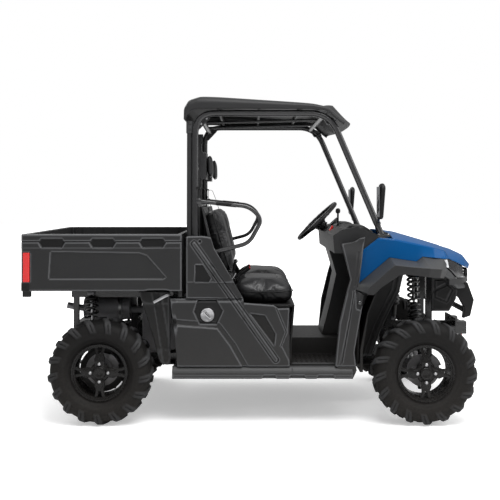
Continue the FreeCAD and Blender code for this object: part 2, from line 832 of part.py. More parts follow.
front_top = "tyre_radius + 590"
front_tower = tower("front_tower", "front_axle", front_top, ("- 160", "+ 190"),
                    ("- 150", "+ 300", "tyre_radius + 152", "tyre_radius + 192"),
                    ("- 190", "+ 345 - seat_gap"),
                    [("- 190", "- 150", front_top + " - 38", front_top),
                     ("+ 112", "+ 150", front_top + " - 38", front_top),
                     ("+ 112", "+ 150", "tyre_radius + 152", "tyre_radius + 192"),
                     ("+ 112", "+ 190", "tyre_radius - 72", "tyre_radius - 42")])
shock_bridge = block("shock_bridge", ("front_axle - 40", "-360", front_top + " + seat_gap"),
                     ("front_axle + 24", "360", front_top + " + 30"))
bridge_feet = block("bridge_feet", ("front_axle - 40", "-(%s)" % tower_out, front_top),
                    ("front_axle + 24", tower_out, front_top + " + 1"))
pieces.append(fused("front_frame", [front_tower, shock_bridge, bridge_feet]))
rear_top = "bed_beam_top_z - 40 - seat_gap"
pieces.append(tower("rear_frame", "rear_axle", rear_top, ("- 180", "+ 150"),
                    ("- 150", "+ 150", "tyre_radius + 142", "tyre_radius + 182"),
                    ("- 150", "+ 150"),
                    [("- 150", "- 112", "tyre_radius + 142", "tyre_radius + 182"),
                     ("+ 112", "+ 150", "tyre_radius + 200", "tyre_radius + 240"),
                     ("- 150", "- 112", rear_top + " - 38", rear_top),
                     ("- 180", "- 140", "tyre_radius - 72", "tyre_radius - 42")]))

# The beams that carry the tipping bed, with the pin that it turns on

bed_rail_in = 306
bed_rail_out = 346
beam_low = "bed_beam_top_z - 40"
bed_beams = []
bed_rail = block("bed_rail", ("bed_pivot_x - 14", "%d" % bed_rail_in, beam_low),
                 ("bed_front - 20", "%d" % bed_rail_out, "bed_beam_top_z"))
bed_beams += [bed_rail, mirrored("bed_rail_mirror", bed_rail)]
for number, (start, end) in enumerate((
        ("bed_pivot_x - 2", "bed_pivot_x + 30"), ("rear_axle - 150", "rear_axle - 112"),
        ("rear_axle + 112", "rear_axle + 150"), ("rear_axle + 270", "rear_axle + 308"),
        ("bed_front - 58", "bed_front - 20"))):
    bed_beams.append(block("bed_beam_%d" % number, (start, "-%d" % bed_rail_in, beam_low),
                           (end, "%d" % bed_rail_in, "bed_beam_top_z")))
upright = block("bed_upright", ("bed_pivot_x - 2", "%d" % bed_rail_in, "515"),
                ("bed_pivot_x + 30", "%d" % bed_rail_out, beam_low))
foot_beam = block("bed_foot_beam", ("bed_pivot_x - 2", "-%d" % bed_rail_out, "515"),
                  ("rear_axle - 150 - seat_gap", "%d" % bed_rail_out, "545"))
pivot_lug = plate("bed_pivot_lug", "side", [
    ("bed_pivot_x - 14", "bed_beam_top_z"), ("bed_pivot_x + 50", "bed_beam_top_z"),
    ("bed_pivot_x + 15", "bed_pivot_z + 14"), ("bed_pivot_x - 14", "bed_pivot_z + 14"),
], "%d" % (bed_rail_in + 12), "%d" % (bed_rail_in + 28))
pivot_start = V(mm("bed_pivot_x"), bed_rail_in + 4, mm("bed_pivot_z"))
pivot_pin = feature("bed_pivot_pin", bar(
    pivot_start, pivot_start + V(0, bed_rail_out - bed_rail_in + 16, 0), 8, 10))
bed_beams += [upright, mirrored("bed_upright_mirror", upright), foot_beam,
              pivot_lug, mirrored("bed_pivot_lug_mirror", pivot_lug),
              pivot_pin, mirrored("bed_pivot_pin_mirror", pivot_pin)]
pieces.append(fused("bed_frame", bed_beams))


# The tipping bed, its tailgate and its lamps

bed_outer = "bed_half_width"
bed_inner = "bed_half_width - bed_wall"
lamp_depth = 46
notch_top = "bed_bottom_z + 14"
side_outline = [
    ("bed_rear", "bed_bottom_z"), ("rear_axle + 262", "bed_bottom_z"),
    ("rear_axle + 288", notch_top), ("rear_axle + 384", notch_top),
    ("rear_axle + 410", "bed_bottom_z"), ("bed_front", "bed_bottom_z"),
    ("bed_front", "bed_top_z"), ("bed_rear", "bed_top_z"),
]
relief_y = "bed_half_width - bed_relief"
side_wall = plate("bed_side_wall", "side", side_outline, bed_inner, relief_y)
pockets = [[("bed_front - %g * bed_length - (%d)" % (share, across), "bed_top_z - %d" % down)
            for across, down in ((62, 28), (-62, 28), (-76, 51), (-60, 78), (60, 78), (76, 51))]
           for share in (0.81, 0.4926, 0.181)]
field = [("bed_rear + 175", "bed_bottom_z + 229"), ("bed_front - 250", "bed_bottom_z + 221"),
         ("bed_front - 205", "bed_bottom_z + 207"), ("bed_front - 95", "bed_bottom_z + 81"),
         ("bed_front - 110", "bed_bottom_z + 73"), ("bed_rear + 165", "bed_bottom_z + 73")]
side_face = plate("bed_side_face", "side", side_outline, relief_y, bed_outer, pockets + [field])
corner_post = block("bed_corner_post",
                    ("bed_rear", "bed_half_width - 62", "bed_bottom_z"),
                    ("bed_rear + 48", bed_inner, "bed_top_z"))
hinge_arm = plate("bed_hinge_arm", "side", [
    ("bed_pivot_x - 20", "bed_floor_z - bed_floor_thickness"),
    ("bed_pivot_x - 16", "bed_pivot_z - 6"), ("bed_pivot_x", "bed_pivot_z - 16"),
    ("bed_pivot_x + 16", "bed_pivot_z - 6"),
    ("bed_pivot_x + 60", "bed_floor_z - bed_floor_thickness"),
], "%d" % (bed_rail_out + 6), "%d" % (bed_rail_out + 18))
hinge_hole = cylinder("bed_hinge_hole", ("bed_pivot_x", "%d" % bed_rail_out, "bed_pivot_z"),
                      "y", "8.6", "30")
hinge = trimmed("bed_hinge", hinge_arm, hinge_hole)
bed_side = fused("bed_side", [side_wall, side_face])
bed_members = [bed_side, mirrored("bed_side_mirror", bed_side),
               corner_post, mirrored("bed_corner_post_mirror", corner_post),
               hinge, mirrored("bed_hinge_mirror", hinge)]
gate_pin_start = V(mm("bed_front_x") - mm("bed_length") + mm("tailgate_thickness") / 2,
                   mm("bed_half_width") - 82 - mm("gate_gap"), mm("bed_bottom_z") + 15)
gate_pin = feature("gate_pin", bar(
    gate_pin_start, gate_pin_start + V(0, mm("gate_gap") + 22, 0), 7, 10))
bed_members += [gate_pin, mirrored("gate_pin_mirror", gate_pin)]
bed_members.append(block("bed_front_wall", ("bed_front - bed_wall", "-(bed_half_width - bed_wall)", "bed_bottom_z"),
                         ("bed_front", "bed_half_width - bed_wall", "bed_top_z")))
floor_outline = [("-(bed_half_width - bed_wall)", "bed_floor_z - bed_floor_thickness"),
                 ("bed_half_width - bed_wall", "bed_floor_z - bed_floor_thickness"),
                 ("bed_half_width - bed_wall", "bed_floor_z")]
for middle in (480, 288, 96, -96, -288, -480):
    floor_outline += [("%d" % (middle + 34), "bed_floor_z"),
                      ("%d" % (middle + 26), "bed_floor_z - bed_groove"),
                      ("%d" % (middle - 26), "bed_floor_z - bed_groove"),
                      ("%d" % (middle - 34), "bed_floor_z")]
floor_outline.append(("-(bed_half_width - bed_wall)", "bed_floor_z"))
bed_members.append(plate("bed_floor", "front", floor_outline, "bed_rear + 48",
                         "bed_front - bed_wall"))
bed_shell = fused("bed_shell", bed_members)
lamp_low = ("bed_rear + 10", "bed_half_width - 40", "bed_bottom_z + 53")
lamp_high = ("bed_rear + 49", "bed_half_width", "bed_bottom_z + 225")
lamp_seat = block("lamp_seat", tuple(place + " - seat_gap" for place in lamp_low),
                  (lamp_high[0] + " + seat_gap", "bed_half_width + 10",
                   lamp_high[2] + " + seat_gap"))
pieces.append(trimmed("bed", bed_shell, pair("lamp_seats", lamp_seat)))
pieces.append(pair("tail_lamps", block("tail_lamp_right", lamp_low, lamp_high)))
gate_half = "bed_half_width - 62 - gate_gap"
gate_panel = block("gate_panel", ("bed_rear", "-(%s)" % gate_half, "bed_bottom_z"),
                   ("bed_rear + tailgate_thickness", gate_half, "bed_top_z"))
gate_bore = cylinder("gate_bore", ("bed_rear + tailgate_thickness / 2", gate_half + " - 24",
                                   "bed_bottom_z + 15"), "y", "7.5", "30")
gate_cuts = [gate_bore, mirrored("gate_bore_mirror", gate_bore)]
gate_edge = gate_half + " - 72"
for number, (start, end) in enumerate((("-(%s)" % gate_edge, "-300"), ("-260", "260"),
                                       ("300", gate_edge))):
    gate_cuts.append(block("gate_recess_%d" % number,
                           ("bed_rear - 5", start, "bed_bottom_z + 60"),
                           ("bed_rear + bed_relief", end, "bed_top_z - 70")))
pieces.append(trimmed("tailgate", gate_panel, grouped("gate_cuts", gate_cuts)))


# Cab: floor, seat base, side panels, rockers, front posts, dashboard and console

floor_low = "floor_top_z - floor_thickness"
tub_rear = cab(196)
toe_x = "(front_axle - tyre_radius - 65)"
floor_section = [
    ("-(floor_half_width)", floor_low), ("-(tunnel_half_width - 10)", floor_low),
    ("-(tunnel_half_width - 10)", "tunnel_top_z - 10"),
    ("tunnel_half_width - 10", "tunnel_top_z - 10"),
    ("tunnel_half_width - 10", floor_low), ("floor_half_width", floor_low),
    ("floor_half_width", "floor_top_z"), ("tunnel_half_width", "floor_top_z"),
    ("tunnel_half_width", "tunnel_top_z"), ("-(tunnel_half_width)", "tunnel_top_z"),
    ("-(tunnel_half_width)", "floor_top_z"), ("-(floor_half_width)", "floor_top_z"),
]
tub_floor = plate("tub_floor", "front", floor_section, tub_rear, toe_x)
toe_board = plate("toe_board", "side", [
    (toe_x + " - 10", floor_low), (toe_x, floor_low), (toe_x + " + 10", "1000"), (toe_x, "1000"),
], "-(fender_y - 8 - seat_gap)", "fender_y - 8 - seat_gap")
tunnel_void = block("tunnel_void",
                    (tub_rear + " - 60", "-(tunnel_half_width - 10)", floor_low + " - 5"),
                    (toe_x + " + 40", "tunnel_half_width - 10", "tunnel_top_z - 10"))
pieces.append(trimmed("floor_tub", fused("tub_shell", [tub_floor, toe_board]), tunnel_void))

deck_front = cab(215)
wall_x = tub_rear + " - seat_gap"
base_shell = plate("base_shell", "side", [
    (cab(-428), "seat_base_top_z - 12"), (cab(-428), "seat_base_top_z"),
    (deck_front, "seat_base_top_z"), (wall_x, "tunnel_top_z + 10"), (wall_x, floor_low),
    (wall_x + " - 10", floor_low), (wall_x + " - 10", "tunnel_top_z + 10"),
    (deck_front + " - 12", "seat_base_top_z - 12"),
], "-(floor_half_width)", "floor_half_width")
pieces.append(trimmed("seat_base", base_shell, tunnel_void))

panel_in = "panel_outer_y - panel_thickness"
panel_foot = "rocker_top_z + seat_gap"
face_in = "panel_outer_y - panel_relief"
ridge_out = "panel_outer_y + strut_ridge"
panel_outline = [
    (cab(-519), "740"), (cab(-88), "740"), (cab(-88), "713"), (cab(91), "698"),
    (cab(114), "680"), (cab(184), "684"), (cab(173), "540"), (cab(138), "463"),
    (cab(184), "376"), (cab(184), panel_foot), (cab(-478), panel_foot), (cab(-490), "499"),
    (cab(-510), "663"),
]
fuel_pocket = [(cab(-356), "733"), (cab(-248), "733"), (cab(-210), "669"), (cab(-245), "592"),
               (cab(-345), "592"), (cab(-378), "664")]
base_window = [(cab(-48), "652"), (cab(37), "641"), (cab(99), "534"), (cab(93), "480")]
lower_field = [(cab(-468), "566"), (cab(-243), "550"), (cab(-166), "462"), (cab(-98), "368"),
               (cab(-462), "368")]
STRUT_HEAD = (-378, 1062)
STRUT_SLOPE = -0.7044
STRUT_HALF = 16


def strut_strip(label, high, low):
    """The raised strip along the strut, between two heights."""
    corners = []
    for height, half in ((high, -STRUT_HALF), (high, STRUT_HALF), (low, STRUT_HALF),
                         (low, -STRUT_HALF)):
        x = STRUT_HEAD[0] + STRUT_SLOPE * (height - STRUT_HEAD[1]) + half
        corners.append((cab(x), "%g" % height))
    return plate(label, "side", corners, face_in, ridge_out)


side_panel = fused("side_panel", [
    plate("side_panel_base", "side", panel_outline, panel_in, face_in),
    plate("side_panel_face", "side", panel_outline, face_in, "panel_outer_y",
          [fuel_pocket, base_window, lower_field]),
    plate("side_panel_field", "side", lower_field, face_in, "panel_outer_y - strut_ridge"),
    strut_strip("strut_strip_low", 739, 382)])
pieces.append(pair("side_panels", side_panel))
quarter_outline = [
    (cab(-425), "740.3"), (cab(-425), "1100"), (cab(-330), "1105"), (cab(-270), "1100"),
    (cab(-262), "1040"), (cab(-90), "740.3"),
]
quarter_window = [(cab(-370), "938"), (cab(-327), "938"), (cab(-298), "880"), (cab(-300), "838"),
                  (cab(-372), "838")]
quarter = fused("quarter_panel", [
    plate("quarter_base", "side", quarter_outline, panel_in, face_in),
    plate("quarter_face", "side", quarter_outline, face_in, "panel_outer_y", [quarter_window]),
    strut_strip("strut_strip_high", 1062, 741.3)])
pieces.append(pair("quarter_panels", quarter))
rocker = plate("rocker", "front", [
    ("panel_outer_y", "rocker_bottom_z"), ("panel_outer_y", "rocker_bottom_z + 30"),
    ("panel_outer_y - 14", "rocker_top_z"), ("floor_half_width + seat_gap", "rocker_top_z"),
    ("floor_half_width + seat_gap", "rocker_bottom_z"),
], cab(-507), cab(554))
notches = []
for number, (start, end) in enumerate(((16, 110), (174, 282), (337, 452))):
    notches.append(plate("rocker_notch_%d" % number, "side", [
        (cab(start), "rocker_bottom_z - 5"), (cab(end), "rocker_bottom_z - 5"),
        (cab(end - 14), "rocker_bottom_z + 20"), (cab(start + 14), "rocker_bottom_z + 20"),
    ], "panel_outer_y - 16", "panel_outer_y + 5"))
pieces.append(pair("rockers", trimmed("rocker_notched", rocker, grouped("notches", notches))))
front_post = plate("front_post", "side", [
    (cab(450), panel_foot), (cab(462), "457"), (cab(475), "590"), (cab(523), "788"),
    (cab(542), "851"), (cab(488), "1061"),
    ("front_axle - 408", "1074"), ("front_axle - 375", "1095"), ("front_axle - 274", "1102"),
    ("front_axle - 363", "1016"), ("front_axle - 387", "818"), ("front_axle - 414", "774"),
    ("front_axle - 351", "750"), ("front_axle - 414", "425"), ("front_axle - 401", panel_foot),
], "floor_half_width + seat_gap", "panel_outer_y")
pieces.append(pair("front_posts", front_post))
arch = "front_axle - tyre_radius"
liner = plate("front_liner", "side", [
    (arch + " - 46", "300"), (arch + " - 46", "430"), (arch + " - 12", "650"),
    (arch + " + 48", "798"), (arch + " + 135", "862"), (arch + " + 135", "871"),
    (arch + " + 40", "806"), (arch + " - 20", "654"), (toe_x + " + 1.5 + seat_gap", "432"),
    (toe_x + " + seat_gap", floor_low), (toe_x + " + seat_gap", "300"),
], "400", "floor_half_width")
pieces.append(pair("front_liners", liner))
dash_half = "floor_half_width - 55"
dash_body = plate("dash_body", "side", [
    (cab(455), "1000.3"), (cab(447), "1106"), (cab(500), "1140"), (cab(590), "1160"),
    (cab(700), "1118"), (cab(712), "1098"), (cab(805), "1084"), (cab(805), "1060"),
    (cab(700), "1040"), (cab(620), "1000.3"),
], "-(%s)" % dash_half, dash_half)
column_hole = feature("column_hole", bar(
    column_top, column_top + column_line * 170, 30 + 2 * mm("seat_gap")))
pieces.append(trimmed("dashboard", dash_body, column_hole))
pieces.append(plate("console", "side", [
    (cab(414), "tunnel_top_z + seat_gap"), (cab(467), "655"), (cab(507), "841"),
    (cab(480), "934"), (cab(460), "1000"), (toe_x + " - seat_gap", "1000"),
    (toe_x + " - 10 + seat_gap", "tunnel_top_z + seat_gap"),
], "-150", "150"))

# Front body: hood, fenders, flares, grille and lamps

def hood():
    """The hood's shell, through arched sections along the vehicle."""
    sections = [(-169.7, 17, 1086, 1122), (-79, 23, 1068, 1112), (75, 46, 1034, 1067),
                (155, 86, 1010, 1043), (190, 130, 964, 1030), (282, 215, 942, 1002),
                (347, 300, 916, 973), (415, 410, 887, 905)]
    wires = []
    for ahead, inset, side_z, top_z in sections:
        x = front_axle_x + ahead
        half = mm("fender_y") - inset
        brow = top_z - 0.35 * (top_z - side_z)
        outer = [(-half, side_z), (-0.8 * half, brow), (-0.42 * half, top_z - 3), (0, top_z),
                 (0.42 * half, top_z - 3), (0.8 * half, brow), (half, side_z)]
        inner = [(y * 0.985, z - 9) for y, z in reversed(outer)]
        corners = [V(x, y, z) for y, z in outer + inner]
        wires.append(corners)
    return flat_skin(wires, split=True)


pieces.append(feature("hood", hood()))


def fender():
    """A right front fender, from the flare's line up to the hood's edge, lofted along it."""
    stations = [(-383, 0, 817, 0, 821), (-359, 0, 837.3, 0, 1014), (-256, 0, 924.5, 0, 1094),
                (-194, 0, 977, 2, 1090), (-160, 0, 971.9, 4, 1086), (-33, 0, 953, 14, 1058),
                (4, 0, 982, 18, 1050), (75, 6, 974.2, 32, 1032), (150, 40, 966, 72, 1008),
                (176, 80, 965, 90, 976)]
    wall = 8
    rings = []
    for ahead, low_inset, low_z, high_inset, high_z in stations:
        x = front_axle_x + ahead
        low_y = mm("fender_y") - low_inset
        high_y = mm("fender_y") - high_inset
        rings.append([V(x, -low_y, low_z), V(x, -high_y, high_z), V(x, wall - high_y, high_z),
                      V(x, wall - low_y, low_z)])
    return flat_skin(rings, split=True)


right_fender = fender()
pieces.append(feature("fenders", Part.makeCompound([right_fender, flipped(right_fender)])))


def front_flare():
    """A right flare, open below: its upper face runs out from the fender to a crease, and
    its lower face stands down from there over the tyre."""
    out = mm("tyre_outer_y")
    near = mm("fender_y") - 8
    stations = [
        ((-403, near, 787), (-345, out, 776), (-307, out, 767)),
        ((-383, near, 816.7), (-327, out, 815), (-264, out, 809)),
        ((-194, near, 976.7), (-184, out, 940), (-160, out, 879)),
        ((-33, near, 952.7), (-39, out, 925), (-117, out, 886)),
        ((4, near, 981.7), (25, out - 8, 920), (13, out - 10, 870)),
        ((150, near - 33, 965.7), (110, out - 60, 912), (102, out - 64, 860)),
        ((178, near - 74, 930), (160, out - 140, 890), (145, out - 144, 850)),
    ]
    skin_depth = 12
    rings = []
    for inner, crease, lower in stations:
        ring = []
        for (ahead, y, z), inward, down in (
                (inner, 0, 0), (crease, 0, 0), (lower, 0, 0), (lower, skin_depth, 0),
                (crease, skin_depth, skin_depth), (inner, 0, skin_depth + 4)):
            ring.append(V(front_axle_x + ahead, inward - y, z - down))
        rings.append(ring)
    return flat_skin(rings, split=True, fan_ends=True)


right_flare = front_flare()
pieces.append(feature("front_flares", Part.makeCompound([right_flare, flipped(right_flare)])))
fascia_band = plate("fascia_band", "top", [
    ("front_axle + 190", "-480"), ("front_axle + 290", "-385"), ("front_axle + 365", "-215"),
    ("front_axle + 365", "215"), ("front_axle + 290", "385"), ("front_axle + 190", "480"),
    ("front_axle + 176", "460"), ("front_axle + 272", "370"), ("front_axle + 345", "205"),
    ("front_axle + 345", "-205"), ("front_axle + 272", "-370"), ("front_axle + 176", "-460"),
], "800", "834")
grille_half = 215
grille = plate("grille_frame", "front", [
    ("-%d" % grille_half, "833"), ("%d" % grille_half, "833"), ("%d" % grille_half, "872"),
    ("%d" % (grille_half - 30), "884"), ("-%d" % (grille_half - 30), "884"),
    ("-%d" % grille_half, "872"),
], "front_axle + 345", "front_axle + 365")
grille_slots = []
for number, height in enumerate((808, 826, 844, 862)):
    for side, (start, end) in enumerate(((-190, -8), (8, 190))):
        grille_slots.append(block("grille_slot_%d_%d" % (number, side),
                                  ("front_axle + 340", "%d" % start, "%d" % height),
                                  ("front_axle + 370", "%d" % end, "%d" % (height + 10))))
pieces.append(trimmed("front_fascia", fused("fascia_shell", [fascia_band, grille]),
                      grouped("grille_slots", grille_slots)))


def headlamp():
    """A right headlamp that wraps the corner, under the hood's edge."""
    stations = [(162, -503, 856, 950), (240, -424, 845, 926), (318, -304, 834.3, 900)]
    rings = []
    for ahead, y, low, high in stations:
        x = front_axle_x + ahead
        lean = 10
        rings.append([V(x, y, low), V(x - lean, y, high), V(x - 26, y + 14, high),
                      V(x - 18, y + 14, low)])
    return flat_skin(rings, split=True, fan_ends=True)


right_lamp = headlamp()
pieces.append(feature("headlamps", Part.makeCompound([right_lamp, flipped(right_lamp)])))
guard = plate("guard_side", "side", [
    ("front_axle + 200", "799.7"), ("front_axle + 345", "799.7"),
    ("front_axle + 385", "690"), ("front_axle + 362", "590"), ("front_axle + 318", "575"),
    ("front_axle + 328", "640"), ("front_axle + 295", "700"), ("front_axle + 225", "760"),
], "250", "300")
guard_members = [guard, mirrored("guard_mirror", guard)]
for number, (ahead, height) in enumerate(((340, 620), (352, 700), (340, 775))):
    start = V(front_axle_x + ahead, -255, height)
    guard_members.append(feature("guard_bar_%d" % number, bar(start, start + V(0, 510, 0), 18, 8)))
pieces.append(fused("bumper_guard", guard_members))
pieces.append(fused("winch", [
    block("winch_plate", ("front_axle + 300 + seat_gap", "-160", "tyre_radius + 125"),
          ("front_axle + 312", "160", "tyre_radius + 245")),
    feature("winch_drum", bar((front_axle_x + 340, -92, hub_z + 185),
                              (front_axle_x + 340, 92, hub_z + 185), 32, 10)),
    block("winch_motor_right", ("front_axle + 312", "-160", "tyre_radius + 145"),
          ("front_axle + 372", "-90", "tyre_radius + 225")),
    block("winch_motor_left", ("front_axle + 312", "90", "tyre_radius + 145"),
          ("front_axle + 372", "160", "tyre_radius + 225")),
]))

# Cage and roof

cage_radius = mm("cage_tube_radius")
rail_y = mm("roof_rail_y")
rail_z = mm("roof_rail_z")
hoop_x = cab_mm(mm("hoop_x"))


def roll_cage():
    """Two side frames of bent tube, each from hoop over roof to pillar foot."""
    deck = mm("seat_base_top_z") + 1
    front_top_x = cab_mm(428)
    foot = (cab_mm(mm("pillar_foot_x")) - 6, -rail_y, mm("pillar_foot_z") - 63)
    side = [tube([(hoop_x + 15, -mm("hoop_base_y"), deck), (hoop_x + 15, -rail_y, rail_z),
                        (front_top_x, -rail_y, rail_z), foot], cage_radius, mm("cage_bend"), 8)]
    side.append(bar((hoop_x - 18, -mm("hoop_base_y") + 26, deck),
                    (hoop_x - 18, -rail_y + 22, rail_z - 70), cage_radius, 8))
    foot_plate = Part.makeBox(78, 40, 14, V(foot[0] - 27, -rail_y - 20, foot[2] - 13.5))
    side.append(foot_plate)
    side += [flipped(shape) for shape in side]
    cross = []
    in_bend = mm("cage_bend") * (1 - math.sqrt(0.5))
    for x, z in ((hoop_x + 15 + in_bend, rail_z - in_bend), (hoop_x + 15, 1530),
                 (hoop_x + 15, 1290), (front_top_x - 40, rail_z - 14)):
        cross.append(bar((x, -rail_y, z), (x, rail_y, z), cage_radius - 3, 8))
    return joined(side + cross)


pieces.append(feature("roll_cage", roll_cage()))
roof_outline = [
    (-448, 1802), (-446, 1870), (-405, 1928), (-336, 1947), (316, 1905), (430, 1880),
    (540, 1815), (590, 1790), (575, 1782), (480, 1815), (410, 1853), (320, 1862), (-385, 1862),
    (-412, 1840), (-424, 1802),
]
roof_hollow = [
    (-400, 1840), (-400, 1890), (-330, 1933), (316, 1892), (425, 1866), (500, 1825),
    (480, 1790), (-400, 1790),
]
half_roof = mm("roof_half_width")
skin = mm("roof_thickness")
roof_outline = [(cab_mm(x), z) for x, z in roof_outline]
roof_hollow = [(cab_mm(x), z) for x, z in roof_hollow]
roof = prism(roof_outline, -half_roof, half_roof).cut(
    prism(roof_hollow, -half_roof + skin, half_roof - skin))
ribs = []
rest_z = rail_z + cage_radius + mm("seat_gap")
for rib_x in (cab_mm(-250), cab_mm(0), cab_mm(250)):
    ribs.append(prism([(rib_x, rest_z), (rib_x + 14, rest_z), (rib_x + 14, 1900), (rib_x, 1900)],
                      -half_roof + skin, half_roof - skin))
pieces.append(feature("roof_panel", joined([roof] + ribs)))

# Seats

seat_y = mm("cushion_gap_y") + mm("cushion_width") / 2
cushion_foot = "seat_base_top_z + seat_gap"
cushion = plate("seat_cushion_right", "side", [
    (cab(-150), cushion_foot), (cab(-150), "cushion_top_z"), (cab(195), "cushion_top_z"),
    (cab(225), "800"), (cab(225), "735"), (cab(195), cushion_foot),
], "-(cushion_gap_y + cushion_width)", "-(cushion_gap_y)")
pieces.append(pair("seat_cushions", cushion))
back = plate("seat_back_right", "side", [
    (cab(-140), "850"), (cab(-241), "1274"), (cab(-265), "1290"), (cab(-326), "1272"),
    (cab(-228), "850"),
], "-(cushion_gap_y + cushion_width)", "-(cushion_gap_y)")
pieces.append(pair("seat_backs", back))
seat_frame = plate("seat_frame", "side", [
    (cab(-258), "seat_base_top_z + seat_gap"), (cab(-158), "seat_base_top_z + seat_gap"),
    (cab(-158), "840"), (cab(-229), "849"), (cab(-327), "1274"), (cab(-341), "1274"),
    (cab(-250), "845"),
], "-(cushion_gap_y + cushion_width - 40)", "-(cushion_gap_y + 40)")
headrest = plate("headrest", "side", [
    (cab(-318), "1460"), (cab(-298), "1455"), (cab(-286), "1480"), (cab(-290), "1590"),
    (cab(-305), "1600"), (cab(-318), "1600"),
], "240", "440")
pieces.append(pair("headrests", headrest))
hoop_face = cab(mm("hoop_x")) + " + 31.2"
headrest_plate = plate("headrest_plate", "side", [
    (hoop_face, "1448"), (cab(-318.3), "1448"), (cab(-318.3), "1612"), (hoop_face, "1612"),
], "235", "445")
frames = [seat_frame, mirrored("seat_frame_mirror", seat_frame),
          headrest_plate, mirrored("headrest_plate_mirror", headrest_plate)]
pieces.append(grouped("seat_frames", frames))


def hip_bar():
    """The right hip bar: a bent loop beside the seat."""
    loop = [(-354, -640, 1312), (-60, -650, 1283), (20, -652, 1210), (-50, -650, 1068),
            (-290, -647, 1004)]
    return tube([(cab_mm(x), y, z) for x, y, z in loop], mm("hip_tube_radius"), 40, 8)


right_hip = hip_bar()
pieces.append(feature("hip_bars", Part.makeCompound([right_hip, flipped(right_hip)])))

# Engine, exhaust and small pieces

engine_pads = [block("engine_block_main", (cab(-735), "-230", "365"), (cab(-330), "230", "680"))]
for number, x in enumerate((-700, -400)):
    pad_right = block("engine_pad_%d" % number, (cab(x), rail_in, frame_top + " + seat_gap"),
                      (cab(x + 50), rail_out, "365"))
    engine_pads += [pad_right, mirrored("engine_pad_mirror_%d" % number, pad_right)]
pieces.append(fused("engine_block", engine_pads))
muffler = bar((rear_axle_x - 170, -232, 632), (rear_axle_x + 120, -232, 632), 68, 16)
tail = tube([(rear_axle_x - 165, -250, 632), (rear_axle_x - 220, -250, 640),
             (rear_axle_x - 278, -250, 652)], 20, 60, 10)
inlet = bar((rear_axle_x + 115, -210, 620), (rear_axle_x + 194.7, -210, 620), 22, 8)
pieces.append(feature("exhaust", joined([muffler, tail, inlet])))
cap_foot = V(cab_mm(-300), mm("panel_relief") - mm("seat_gap") - mm("panel_outer_y"), 644)
cap_disc = bar(cap_foot, cap_foot - V(0, 9, 0), mm("tank_cap_radius"), 24)
cap_grip = Part.makeBox(60, 8, 16, cap_foot - V(30, 16, 8))
pieces.append(feature("fuel_cap", joined([cap_disc, cap_grip])))
mirror_x = cab_mm(690)
mirror_arm = bar((mirror_x + 20, -rail_y - cage_radius - 3, 1180), (mirror_x + 16, -695, 1225), 8, 8)
mirror_head = prism([(mirror_x, 1206), (mirror_x + 26, 1206), (mirror_x + 41, 1400),
                     (mirror_x + 28, 1419), (mirror_x + 10, 1410)], -815, -690)
pieces.append(feature("door_mirrors", Part.makeCompound([
    joined([mirror_arm, mirror_head]), flipped(joined([mirror_arm, mirror_head]))])))
lever_x = cab_mm(533)
lever = bar((lever_x, 0, 1149), (lever_x, 0, 1235), 6, 8)
knob = bar((lever_x, 0, 1232), (lever_x, 0, 1264), 16)
pieces.append(feature("gear_lever", joined([lever, knob])))
hitch_tongue = plate("hitch_tongue", "top", [
    ("rear_axle - 180.3", "-40"), ("rear_axle - 180.3", "40"), ("rear_axle - 260", "30"),
    ("rear_axle - 260", "-30"),
], "tyre_radius - 70", "tyre_radius - 58")
ball_hole = cylinder("ball_hole", ("rear_axle - 228", "0", "tyre_radius - 80"), "z",
                     "hitch_ball_hole_radius", "40")
pieces.append(trimmed("hitch", hitch_tongue, ball_hole))


# Check every object, then write one file for each piece

doc.recompute()
os.makedirs("parts", exist_ok=True)
for item in doc.Objects:
    if "Invalid" in item.State or "Error" in item.State:
        raise RuntimeError("%s failed: %s" % (item.Label, item.State))
for piece in pieces:
    if piece.Shape.isNull() or not piece.Shape.isValid() or not piece.Shape.Solids:
        raise RuntimeError("%s has no valid solid" % piece.Label)
for piece in pieces:
    piece.Shape.exportStep("parts/%s.step" % piece.Label)
print("%d nodes written" % len(pieces))
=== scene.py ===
import contextlib
import json
import math

import bmesh
import bpy
import numpy as np
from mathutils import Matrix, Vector


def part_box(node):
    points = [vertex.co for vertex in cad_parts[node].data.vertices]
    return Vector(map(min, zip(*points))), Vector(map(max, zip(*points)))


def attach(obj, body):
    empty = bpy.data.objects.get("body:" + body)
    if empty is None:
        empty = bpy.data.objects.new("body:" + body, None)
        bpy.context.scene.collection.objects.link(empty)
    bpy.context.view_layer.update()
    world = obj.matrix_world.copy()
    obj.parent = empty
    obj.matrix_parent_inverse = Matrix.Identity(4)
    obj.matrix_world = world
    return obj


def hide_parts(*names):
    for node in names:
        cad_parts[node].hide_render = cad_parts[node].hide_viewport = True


# A side by side utility vehicle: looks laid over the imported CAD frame.
# Metres; +X forward, +Y to the vehicle's left, +Z up, the ground at Z 0.

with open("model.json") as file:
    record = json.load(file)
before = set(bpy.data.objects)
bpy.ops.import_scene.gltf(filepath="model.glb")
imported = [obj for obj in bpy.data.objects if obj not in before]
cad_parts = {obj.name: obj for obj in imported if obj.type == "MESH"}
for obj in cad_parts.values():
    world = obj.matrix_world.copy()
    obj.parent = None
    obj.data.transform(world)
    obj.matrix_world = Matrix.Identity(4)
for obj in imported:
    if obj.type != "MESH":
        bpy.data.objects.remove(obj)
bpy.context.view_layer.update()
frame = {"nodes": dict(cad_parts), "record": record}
NODES = frame["nodes"]
BODY_OF = {node: body for body, group in frame["record"]["behaviour"]["bodies"].items()
           for node in group}
scene = bpy.context.scene
scene.view_settings.view_transform = "Standard"
SIDE_NAME = {-1: "right", 1: "left"}


def low(node):
    """Lowest corner of a CAD node."""
    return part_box(node)[0]


def high(node):
    """Highest corner of a CAD node."""
    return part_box(node)[1]


